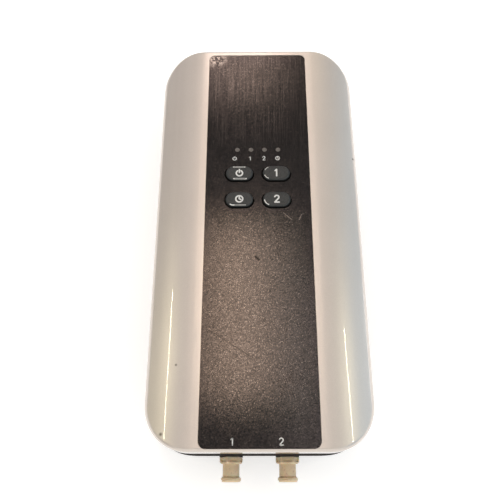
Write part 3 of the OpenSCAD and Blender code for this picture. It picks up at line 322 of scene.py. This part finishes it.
def panel_film(box):
    """Near-black metallic film with a dense fine sparkle, streaks, marks and a worn corner."""
    low, high = box
    s = Surface("panel_film", (58, 54, 52), 0.13, Metallic=1.0)
    far_part = s.ramp(s.part(s.mm, "Y"), 20, 60)
    grain = s.mix(s.times(far_part, 0.6), s.cells(4.9), rgba((128, 128, 128)))
    colour = s.mix(grain, rgba((12, 12, 12)), rgba((77, 73, 72)))
    flake = s.ramp(s.cells(4.6), 0.78, 0.92)
    colour = s.tint(colour, flake, 0.25, (156, 148, 142))
    streak = s.times(s.ramp(s.noise(2.2, 3, (1, 45, 45)), 0.4, 0.75), far_part)
    colour = s.tint(colour, streak, 0.3, (104, 98, 94))
    corner = s.near((low.x / MM + 3.2, high.y / MM - 1.6), 6.5)
    worn = s.times(corner, s.ramp(s.noise(0.9, 4), 0.42, 0.6))
    colour = s.tint(colour, worn, 0.65, (150, 146, 142))
    for marks, other in ((PANEL_SCRATCHES, (12, 10, 9)), (PANEL_RUBS, (150, 142, 136))):
        for start, end, reach, strength in marks:
            colour = s.tint(colour, s.scratch(start, end, reach), strength, other)
    colour = s.tint(colour, s.worn_edge(), 0.4, (120, 112, 106))
    s.set("Base Color", colour)
    s.set("Roughness", s.ramp(s.noise(0.3, 3), 0.3, 0.7, 0.1, 0.14))
    s.flakes(5, 0.03)
    return s.material


def key_satin():
    """Dark grey moulded cap with a fine satin grain and a little dust, with painted shade
    darkening its sides.
    """
    s = Surface("key_satin", (62, 65, 65), 0.38, Specular_IOR_Level=0.3)
    colour = s.mix(s.cells(3.6), rgba((40, 43, 44)), rgba((64, 67, 68)))
    dust = s.ramp(s.cells(1.1, "Distance"), 0.05, 0.1, 1, 0)
    colour = s.tint(colour, dust, 0.2, (140, 140, 138))
    # Painted shade: the cap's steep sides are coloured near black
    steep_side_shade = s.ramp(s.part(s.normal(), "Z"), 0.75, 0.25)
    colour = s.tint(colour, steep_side_shade, 0.85, (12, 12, 12))
    s.set("Base Color", colour)
    s.set("Roughness", s.ramp(s.noise(0.8, 4), 0.3, 0.75, 0.32, 0.46))
    s.bumps((s.noise(1.6, 3), 0.08, 0.02))
    return s.material


def base_satin():
    """Near-black moulded cover with a fine spark-eroded texture."""
    s = Surface("base_satin", (42, 38, 36), 0.7, Specular_IOR_Level=0.02)
    colour = s.mix(s.noise(0.08, 3), rgba((36, 32, 30)), rgba((48, 44, 42)))
    colour = s.tint(colour, s.worn_edge(), 0.5, (92, 88, 84))
    s.set("Base Color", colour)
    grain = s.noise(3.2, 3)
    s.set("Roughness", s.ramp(grain, 0.3, 0.7, 0.62, 0.82))
    s.bumps((grain, 0.35, 0.05))
    return s.material


def fitting_nylon():
    """Almond moulded nylon, slightly translucent, with flow marks."""
    soft = {"Subsurface_Weight": 0.25, "Subsurface_Scale": 0.0012}
    s = Surface("fitting_nylon", (230, 208, 171), 0.36, **soft)
    colour = s.mix(s.noise(0.35, 4), rgba((222, 198, 160)), rgba((240, 220, 186)))
    grime = s.ramp(s.noise(1.1, 4), 0.56, 0.72)
    colour = s.tint(colour, grime, 0.35, (164, 136, 98))
    colour = s.tint(colour, s.worn_edge(), 0.35, (246, 234, 210))
    s.set("Base Color", colour)
    s.set("Roughness", s.ramp(s.noise(0.9, 3), 0.3, 0.7, 0.26, 0.46))
    s.bumps((s.noise(1.2, 3), 0.12, 0.05), (s.noise(5, 2), 0.1, 0.01))
    return s.material


def print_ink():
    """Slightly raised off-white ink, thinned where it is rubbed."""
    s = Surface("print_ink", (214, 216, 215), 0.5)
    rubbed = s.ramp(s.noise(1.8, 4), 0.5, 0.75)
    s.set("Base Color", s.tint(rgba((220, 222, 221)), rubbed, 0.35, (150, 151, 150)))
    s.bumps((s.noise(4, 2), 0.15, 0.02))
    return s.material


def painted_rim_highlight():
    """Painted highlight: bright plastic for the glints laid on the keys' rims."""
    s = Surface("painted_rim_highlight", (236, 237, 234), 0.3)
    s.set("Base Color", s.mix(s.noise(1.6, 3), rgba((214, 216, 214)), rgba((244, 245, 242))))
    s.bumps((s.noise(4, 2), 0.15, 0.02))
    return s.material


def gap_shadow_paint():
    """Matt black with a little dust: painted shadow for the line outside a key."""
    s = Surface("gap_shadow_paint", (9, 9, 9), 0.9, Specular_IOR_Level=0.05)
    dust = s.ramp(s.noise(2, 3), 0.5, 0.8)
    s.set("Base Color", s.mix(dust, rgba((6, 6, 6)), rgba((22, 21, 20))))
    s.bumps((s.noise(4, 2), 0.2, 0.02))
    return s.material


def smoked_window():
    """Grey light pipe with a frosted face."""
    s = Surface("smoked_window", (90, 87, 84), 0.3, Coat_Weight=0.3, Coat_Roughness=0.1)
    s.set("Base Color", s.mix(s.noise(1.5, 3), rgba((78, 75, 72)), rgba((102, 99, 95))))
    s.bumps((s.noise(3, 3), 0.2, 0.03))
    return s.material


def moulded(name, colour, roughness=0.45, grain_per_mm=2.5, **sockets):
    """Moulded plastic or rubber: slow shade changes, fine grain and paler edges."""
    s = Surface(name, colour, roughness, **sockets)
    cloudy = s.mix(s.noise(0.12, 3), rgba(shade(colour, 0.92)), rgba(shade(colour, 1.06)))
    s.set("Base Color", s.tint(cloudy, s.worn_edge(), 0.35, shade(colour, 1.3)))
    grain = s.noise(grain_per_mm, 3)
    s.set("Roughness", s.ramp(grain, 0.3, 0.7, roughness - 0.08, roughness + 0.1))
    s.bumps((grain, 0.2, 0.04))
    return s.material


def metal(name, colour, roughness=0.3, along=(1, 1, 30)):
    """Bare metal with fine tool marks along one way."""
    s = Surface(name, colour, roughness, Metallic=1.0)
    marks = s.noise(6, 3, along)
    tooled = s.mix(s.ramp(marks, 0.3, 0.7), rgba(shade(colour, 0.88)), rgba(shade(colour, 1.08)))
    stain = s.ramp(s.noise(0.4, 4), 0.55, 0.8)
    s.set("Base Color", s.tint(tooled, stain, 0.25, shade(colour, 0.6)))
    s.set("Roughness", s.ramp(marks, 0.3, 0.7, roughness - 0.08, roughness + 0.12))
    s.bumps((marks, 0.15, 0.02))
    return s.material


def circuit_board():
    """Green solder mask over copper tracks."""
    s = Surface("circuit_board", (31, 91, 57), 0.32, Coat_Weight=0.4, Coat_Roughness=0.15)
    inputs = {"Vector": s.mm, "Scale": 0.45, "Mortar Size": 0.03}
    inputs |= {"Brick Width": 1.6, "Row Height": 0.35}
    tracks = s.add("ShaderNodeTexBrick", inputs).outputs["Fac"]
    colour = s.mix(tracks, rgba((26, 82, 50)), rgba((52, 124, 78)))
    s.set("Base Color", s.tint(colour, s.noise(0.3, 3), 0.2, (20, 64, 40)))
    s.bumps((tracks, 0.2, 0.05), (s.noise(3, 2), 0.05, 0.02))
    return s.material


def winding():
    """Enamelled copper wire, wound side by side."""
    s = Surface("winding", (165, 98, 47), 0.3, Metallic=0.9, Coat_Weight=0.5)
    inputs = {"Vector": s.mm, "Scale": 0.9, "Distortion": 0.6}
    turns = s.add("ShaderNodeTexWave", inputs).outputs["Fac"]
    s.set("Base Color", s.mix(turns, rgba((118, 62, 28)), rgba((196, 122, 62))))
    s.bumps((turns, 0.6, 0.15))
    return s.material


def clear_tube():
    """Milky silicone tube."""
    s = Surface("clear_tube", (217, 220, 216), 0.28, Subsurface_Weight=0.4, Subsurface_Scale=0.002)
    s.set("Base Color", s.mix(s.noise(0.3, 3), rgba((206, 210, 205)), rgba((228, 230, 226))))
    s.bumps((s.noise(2, 3), 0.1, 0.03))
    return s.material


def wire_sleeve(name, colour):
    return moulded(name, colour, 0.38, 4)


def slot_materials():
    """The material of each slot in the record."""
    return {
        "pearl_shell": pearl_paint(),
        "dark_shell": base_satin(),
        "panel": panel_film(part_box("control_panel")),
        "foot_rubber": moulded("foot_rubber", (30, 30, 31), 0.75, 1.6),
        "steel": metal("zinc_steel", (150, 150, 153), 0.34),
        "button": key_satin(),
        "ivory_plastic": moulded("ivory_plastic", (216, 212, 200), 0.42),
        "black_plastic": moulded("black_plastic", (32, 32, 34), 0.4),
        "smoked_plastic": smoked_window(),
        "led": moulded("led_epoxy", (233, 228, 201), 0.2, 1.2, Transmission_Weight=0.3),
        "board": circuit_board(),
        "capacitor": moulded("capacitor_sleeve", (51, 65, 94), 0.3),
        "fitting": fitting_nylon(),
        "nut": moulded("nut_nylon", (185, 178, 162), 0.42),
        "tube": clear_tube(),
        "valve_body": moulded("valve_wrap", (45, 79, 134), 0.35),
        "bright_steel": metal("ground_steel", (186, 188, 192), 0.22),
        "pump_plastic": moulded("filled_nylon", (61, 61, 64), 0.5, 3),
        "brass": metal("brass", (176, 148, 82), 0.26, (1, 30, 1)),
        "magnet": moulded("ferrite", (71, 72, 75), 0.6, 4),
        "copper": winding(),
        "red_wire": wire_sleeve("red_sleeve", (181, 52, 43)),
        "black_wire": wire_sleeve("black_sleeve", (42, 42, 44)),
        "cream_wire": wire_sleeve("cream_sleeve", (215, 207, 166)),
        "green_wire": wire_sleeve("green_sleeve", (90, 125, 86)),
    }


# ---------------------------------------------------------------- carried-over nodes


def smooth_group():
    """Smooth faces, with edges kept sharp where the surface turns by more than SHARP_TURN."""
    tree = bpy.data.node_groups.new("smooth_by_angle", "GeometryNodeTree")
    for way in ("INPUT", "OUTPUT"):
        tree.interface.new_socket("Geometry", in_out=way, socket_type="NodeSocketGeometry")
    start = tree.nodes.new("NodeGroupInput")
    plain = tree.nodes.new("GeometryNodeRemoveAttribute")
    plain.inputs["Name"].default_value = "custom_normal"
    faces = tree.nodes.new("GeometryNodeSetShadeSmooth")
    turn = tree.nodes.new("GeometryNodeInputMeshEdgeAngle")
    sharp = tree.nodes.new("FunctionNodeCompare")
    sharp.inputs["B"].default_value = math.radians(SHARP_TURN)
    edges = tree.nodes.new("GeometryNodeSetShadeSmooth")
    edges.domain = "EDGE"
    edges.inputs["Shade Smooth"].default_value = False
    end = tree.nodes.new("NodeGroupOutput")
    for a, b in (
        (start.outputs[0], plain.inputs["Geometry"]),
        (plain.outputs[0], faces.inputs[0]),
        (turn.outputs["Unsigned Angle"], sharp.inputs["A"]),
        (sharp.outputs[0], edges.inputs["Selection"]),
        (faces.outputs[0], edges.inputs[0]),
        (edges.outputs[0], end.inputs[0]),
    ):
        tree.links.new(a, b)
    return tree


def add_smoothing(thing, smooth):
    weld = thing.modifiers.new("weld", "WELD")
    weld.merge_threshold = WELD_DISTANCE
    thing.modifiers.new("smooth", "NODES").node_group = smooth
    thing.modifiers.new("weighted", "WEIGHTED_NORMAL").keep_sharp = True


def dress_nodes(frame, materials, smooth):
    """Gives every carried-over node its material and smooth curved faces."""
    slots = {part["node"]: part["material_slot"] for part in frame["record"]["subparts"]}
    for name, node in frame["nodes"].items():
        for slot in node.material_slots:
            slot.material = materials[slots[name]]
        add_smoothing(node, smooth)


def half_of(source, name, level, above):
    """Copy of a mesh above or below a level (in mm), closed along the cut."""
    mesh = source.copy()
    mesh.name = name
    mesh.materials.clear()
    bm = bmesh.new()
    bm.from_mesh(mesh)
    bmesh.ops.remove_doubles(bm, verts=bm.verts, dist=WELD_DISTANCE)
    cut = bmesh.ops.bisect_plane(
        bm,
        geom=bm.verts[:] + bm.edges[:] + bm.faces[:],
        plane_co=(0, 0, level * MM),
        plane_no=(0, 0, 1),
        clear_inner=above,
        clear_outer=not above,
    )
    rim = [edge for edge in cut["geom_cut"] if isinstance(edge, bmesh.types.BMEdge)]
    bmesh.ops.triangle_fill(bm, edges=rim, use_beauty=True)
    bm.to_mesh(mesh)
    bm.free()
    return mesh


def make_lid(frame, materials, smooth):
    """The top cover in two: silver above, and dark as the base below."""
    source = frame["nodes"]["top_cover"].data
    for name, slot, above in (("lid", "pearl_shell", True), ("lid_skirt", "dark_shell", False)):
        mesh = half_of(source, name, LID_LOW_Z, above)
        piece = new_piece(name, mesh, materials[slot], "housing")
        add_smoothing(piece, smooth)
        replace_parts(piece, "top_cover")


# ---------------------------------------------------------------- keys and prints


def put_in_scene(name, data):
    thing = bpy.data.objects.new(name, data)
    bpy.context.scene.collection.objects.link(thing)
    return thing


def new_piece(name, mesh, material, body):
    piece = put_in_scene(name, mesh)
    mesh.materials.append(material)
    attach(piece, body)
    return piece


def mesh_from(name, points, faces, smooth=True):
    mesh = bpy.data.meshes.new(name)
    mesh.from_pydata([Vector(p) * MM for p in points], [], faces)
    for polygon in mesh.polygons:
        polygon.use_smooth = smooth
    return mesh


def centre_of(box):
    return [(low + high) / 2 / MM for low, high in zip(*box)]


def stadium(length, width, steps=20):
    """Outline of a slot shape, anticlockwise from its lower right."""
    r = width / 2
    half = length / 2 - r
    right = [(half + r * math.cos(a), r * math.sin(a)) for a in arc(-90, 90, steps)]
    left = [(-half + r * math.cos(a), r * math.sin(a)) for a in arc(90, 270, steps)]
    return right + left


def arc(start, end, steps):
    return [math.radians(start + (end - start) * i / steps) for i in range(steps + 1)]


def crown_drop(inset):
    """How far the cap's top lies below its middle, at this distance in from its side."""
    away = max(0, KEY_END_R - inset) / (KEY_END_R - KEY_EDGE_R)
    return KEY_CROWN * min(1, away) ** 2


def top_of_panel(*place):
    """Height of the panel's face, the same at every place."""
    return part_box("control_panel")[1].z / MM


def key_cap(node, material, body):
    """Domed cap with a round edge, in place of the plain one."""
    x, y, _ = centre_of(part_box(node))
    length, width = KEY_SIZE
    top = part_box(node)[1].z / MM - PRINT_T
    rim = top - KEY_CROWN - KEY_EDGE_R
    rings = [(0, top_of_panel() - KEY_SKIRT), (0, rim)]
    rings += [
        (KEY_EDGE_R * (1 - math.cos(a)), rim + KEY_EDGE_R * math.sin(a))
        for a in arc(10, 90, CAP_RINGS)
    ]
    step = (width / 2 - CAP_MIDDLE - KEY_EDGE_R) / CAP_RINGS
    inner = [KEY_EDGE_R + step * i for i in range(1, CAP_RINGS + 1)]
    rings += [(inset, top - crown_drop(inset)) for inset in inner]
    points = []
    for inset, z in rings:
        outline = stadium(length - 2 * inset, width - 2 * inset)
        points += [(x + px, y + py, z) for px, py in outline]
    count = len(points) // len(rings)
    faces = [tuple(range(count))[::-1]]
    for ring in range(len(rings) - 1):
        a = ring * count
        for i in range(count):
            j = (i + 1) % count
            faces.append((a + i, a + j, a + count + j, a + count + i))
    faces.append(tuple(range(len(points) - count, len(points))))
    name = node + "_cap"
    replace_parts(new_piece(name, mesh_from(name, points, faces), material, body), node)


def stroke(line, width):
    """Points and faces of a flat strip along a line, with round ends."""
    points = []
    faces = []
    r = width / 2
    for i, (x, y) in enumerate(line):
        before = line[max(i - 1, 0)]
        after = line[min(i + 1, len(line) - 1)]
        turn = math.atan2(after[1] - before[1], after[0] - before[0])
        side = (-math.sin(turn) * r, math.cos(turn) * r)
        points += [(x + side[0], y + side[1]), (x - side[0], y - side[1])]
        if i:
            a = 2 * i
            faces.append((a - 2, a - 1, a + 1, a))
    for x, y in (line[0], line[-1]):
        first = len(points)
        points += round_line(x, y, r, 0, 360, END_SIDES)[:-1]
        faces.append(tuple(range(first, first + END_SIDES)))
    return points, faces


def straight(a, b, steps=6):
    return [tuple(p + (q - p) * i / steps for p, q in zip(a, b)) for i in range(steps + 1)]


def round_line(x, y, r, start, end, steps=24):
    return [(x + r * math.cos(a), y + r * math.sin(a)) for a in arc(start, end, steps)]


# Symbols as lines in a box of height 1, centred


def power_symbol():
    return [round_line(0, -0.06, 0.42, 122, 418, 40), straight((0, 0.06), (0, 0.5))]


def clock_symbol():
    hands = [straight((0, 0), (0, 0.27)), straight((0, 0), (0.2, -0.1))]
    return [round_line(0, 0, 0.46, 0, 360, 48)] + hands


def one():
    return [straight((-0.16, 0.3), (0.04, 0.5)), straight((0.04, 0.5), (0.04, -0.5), 10)]


def two():
    bow = round_line(0, 0.22, 0.27, 165, -35, 20)
    return [bow + straight(bow[-1], (-0.28, -0.5), 8)[1:], straight((-0.28, -0.5), (0.3, -0.5))]


def add_print(name, lines, place, size, material, body="housing", level=top_of_panel):
    """Thin lines at a place (x, y in mm); level(x, y) is the height of the surface there."""
    height, width = size
    points = []
    faces = []
    for line in lines:
        scaled = [(place[0] + x * height, place[1] + y * height) for x, y in line]
        strip, quads = stroke(scaled, width)
        faces += [tuple(len(points) + i for i in quad) for quad in quads]
        points += [(x, y, level(x, y) + PRINT_T * 0.9) for x, y in strip]
    mesh = mesh_from(name, points, faces, smooth=False)
    piece = new_piece(name, mesh, material, body)
    thick = piece.modifiers.new("thickness", "SOLIDIFY")
    thick.thickness = PRINT_T * MM * 0.8
    thick.offset = -1


# The body of each key and its symbol, and the labels: their x and symbol
KEYS = {
    "power_button": ("power_key", power_symbol),
    "timer_button": ("timer_key", clock_symbol),
    "port_1_button": ("port_1_key", one),
    "port_2_button": ("port_2_key", two),
}
PORT_LABELS = ((-9.63, one), (7.57, two))
LED_LABELS = ((-9.77, power_symbol), (-3.16, one), (2.56, two), (8.40, clock_symbol))


def end_line(start, end):
    """Line along the left end of a key's rim, between two angles in degrees."""
    return round_line(-KEY_HALF, 0, KEY_END_R - RIM_HIGHLIGHT_INSET, start, end)


def side_line(start, end, side):
    """Line along a straight part of a key's rim, the far one (side 1) or the near one (-1)."""
    y = side * (KEY_END_R - RIM_HIGHLIGHT_INSET)
    return straight((start, y), (end, y), 12)


# Where each key's rim carries a painted highlight: lines and their width
RIM_HIGHLIGHTS = {
    "power_button": ((side_line(-2.5, 2.3, 1), 0.46), (side_line(-2.3, 2.8, -1), 0.5)),
    "timer_button": ((end_line(240, 275), 0.42), (side_line(-2, 2.7, -1), 0.16)),
    "port_1_button": ((end_line(112, 153), 0.18), (end_line(203, 250), 0.26)),
    "port_2_button": ((end_line(190, 248), 0.36),),
}


def gap_shadow_line():
    """The left, near and right part of the outline just outside a key, where the painted gap
    shadow lies.
    """
    r = KEY_END_R + GAP_SHADOW_OUT
    left = round_line(-KEY_HALF, 0, r, 140, 270)
    right = round_line(KEY_HALF, 0, r, 270, 365)
    return left + straight(left[-1], right[0], 8)[1:-1] + right


def level_on(x, y, top):
    """Height of the surface of a key's cap at a place, for a key at x, y with this top."""

    def level(px, py):
        along = max(0, abs(px - x) - KEY_HALF)
        inset = KEY_END_R - math.hypot(along, py - y)
        if inset >= KEY_EDGE_R:
            return top - crown_drop(inset)
        rise = math.sin(math.acos(1 - max(0, inset) / KEY_EDGE_R))
        return top - KEY_CROWN - KEY_EDGE_R * (1 - rise)

    return level


def make_keys(materials):
    ink = print_ink()
    rim_highlight = painted_rim_highlight()
    black = gap_shadow_paint()
    for node, (body, symbol) in KEYS.items():
        x, y, _ = centre_of(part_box(node))
        level = level_on(x, y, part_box(node)[1].z / MM - PRINT_T)
        key_cap(node, materials["button"], body)
        add_print(node + "_legend", symbol(), (x, y), LEGEND_SIZE, ink, body, level)
        # Painted highlights: bright strips laid on the cap's rounded rim where glints fall
        for i, (line, width) in enumerate(RIM_HIGHLIGHTS[node]):
            add_print(f"{node}_rim_highlight_{i + 1}", [line], (x, y), (1, width), rim_highlight, body, level)
        # Painted shadow: a black line on the panel round the left, near and right of each key
        add_print(node + "_gap_shadow", [gap_shadow_line()], (x, y), (1, GAP_SHADOW_W), black)
    for kind, labels, y, size in (
        ("indicator_label", LED_LABELS, LED_LABEL_Y, LED_LABEL_SIZE),
        ("port_label", PORT_LABELS, PORT_LABEL_Y, PORT_LABEL_SIZE),
    ):
        for i, (x, symbol) in enumerate(labels):
            add_print(f"{kind}_{i + 1}", symbol(), (x, y), size, ink)


# ---------------------------------------------------------------- camera, floor and light


def stand(thing, place, axes):
    """Puts a thing at a place (in metres), with its own X, Y and Z along these axes."""
    turn = Matrix(axes).transposed()
    thing.matrix_world = Matrix.Translation(place) @ turn.to_4x4()


def add_camera():
    e = math.radians(CAMERA_ELEVATION)
    a = math.radians(CAMERA_YAW)
    r = math.radians(CAMERA_ROLL)
    forward = Vector((-math.sin(a) * math.cos(e), math.cos(a) * math.cos(e), -math.sin(e)))
    level_right = Vector((math.cos(a), math.sin(a), 0))
    level_up = level_right.cross(forward)
    right = math.cos(r) * level_right + math.sin(r) * level_up
    up = math.cos(r) * level_up - math.sin(r) * level_right
    data = bpy.data.cameras.new("camera")
    data.sensor_width = SENSOR_MM
    data.lens = CAMERA_FOCAL_PX / IMAGE_PX * SENSOR_MM
    data.clip_start = 0.005
    camera = put_in_scene("camera", data)
    stand(camera, Vector(CAMERA_PLACE) * MM, (right, up, -forward))
    bpy.context.scene.camera = camera


def seen_directly(nodes):
    """1 for what the camera, gloss and glass see."""
    path = nodes.add("ShaderNodeLightPath").outputs
    seen = path["Is Camera Ray"]
    for name in ("Is Glossy Ray", "Is Transmission Ray"):
        seen = nodes.sum(seen, path[name], "MAXIMUM")
    return seen


def add_floor():
    """Pale floor that shows as white and keeps the shadow."""
    mesh = bpy.data.meshes.new("floor")
    bm = bmesh.new()
    bmesh.ops.create_grid(bm, x_segments=1, y_segments=1, size=3)
    bm.to_mesh(mesh)
    bm.free()
    put_in_scene("floor", mesh)
    material = bpy.data.materials.new("floor_white")
    material.use_nodes = True
    nodes = Nodes(material.node_tree)
    shader = nodes.tree.nodes["Principled BSDF"].inputs
    shader["Base Color"].default_value = (0.8, 0.8, 0.8, 1)
    shader["Roughness"].default_value = 0.9
    shader["Specular IOR Level"].default_value = 0
    shader["Emission Color"].default_value = (1, 1, 1, 1)
    nodes.feed(shader["Emission Strength"], nodes.times(seen_directly(nodes), FLOOR_GLOW))
    mesh.materials.append(material)


def add_world():
    """Soft light: pale overhead, darker on the left, cooler on the right, with warm windows."""
    world = bpy.data.worlds.new("studio")
    world.use_nodes = True
    bpy.context.scene.world = world
    nodes = Nodes(world.node_tree)
    way = nodes.add("ShaderNodeTexCoord").outputs["Generated"]
    parts = nodes.add("ShaderNodeSeparateXYZ", {0: way}).outputs
    across = nodes.add("ShaderNodeValToRGB", {0: nodes.ramp_plain(parts["X"], -1, 1)})
    stops = across.color_ramp.elements
    for _ in SKY[2:]:
        stops.new(0.5)
    for stop, (x, colour) in zip(stops, SKY):
        stop.position = (x + 1) / 2
    for stop, (x, colour) in zip(stops, SKY):
        stop.color = (*colour, 1)
    sky = across.outputs[0]
    for colour, x_band, y_band in WINDOWS:
        glow = 1
        for name, (start, full, last_full, end) in (("X", x_band), ("Y", y_band)):
            rise = nodes.ramp(parts[name], start, full)
            fall = nodes.ramp(parts[name], end, last_full)
            glow = nodes.times(glow, nodes.times(rise, fall))
        sky = nodes.vector(sky, nodes.scaled(colour, glow))
    low = nodes.ramp(parts["Z"], *HORIZON_Z)
    sky = nodes.mix(low, sky, (HORIZON_LEVEL,) * 3 + (1,))
    nodes.feed(nodes.tree.nodes["Background"].inputs["Color"], sky)


def strip_lamp(name, start, end, width, watts, colour=(1, 1, 1)):
    """Thin lamp from start to end (in mm) that faces the pump."""
    start = Vector(start) * MM
    end = Vector(end) * MM
    middle = (start + end) / 2
    along = (end - start).normalized()
    back = (middle - Vector((0, 0, 30)) * MM).normalized()
    back = (back - along * back.dot(along)).normalized()
    data = bpy.data.lights.new(name, "AREA")
    data.shape = "RECTANGLE"
    data.size = (end - start).length
    data.size_y = width * MM
    data.energy = watts
    data.color = colour
    stand(put_in_scene(name, data), middle, (along, back.cross(along), back))


def add_lamps():
    strip_lamp("left_line", (-429, 163, 451), (-466, -35, 455), 8, 0.19, LINE_COLOUR)
    strip_lamp("right_line", (401, 114, 489), (432, -45, 488), 8, 0.18, LINE_COLOUR)
    strip_lamp("right_rim_line", (620, 180, 110), (620, -4, 110), 12, 0.1)
    strip_lamp("far_rim_line", (516, 450, 96), (516, 402, 96), 12, 0.05)


# ---------------------------------------------------------------- the whole


def clear_startup():
    for thing in list(bpy.data.objects):
        bpy.data.objects.remove(thing, do_unlink=True)


def main():
    clear_startup()
    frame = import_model()
    bpy.context.scene.view_settings.view_transform = "Standard"
    add_camera()
    add_floor()
    add_world()
    add_lamps()
    materials = slot_materials()
    smooth = smooth_group()
    dress_nodes(frame, materials, smooth)
    make_lid(frame, materials, smooth)
    make_keys(materials)


main()
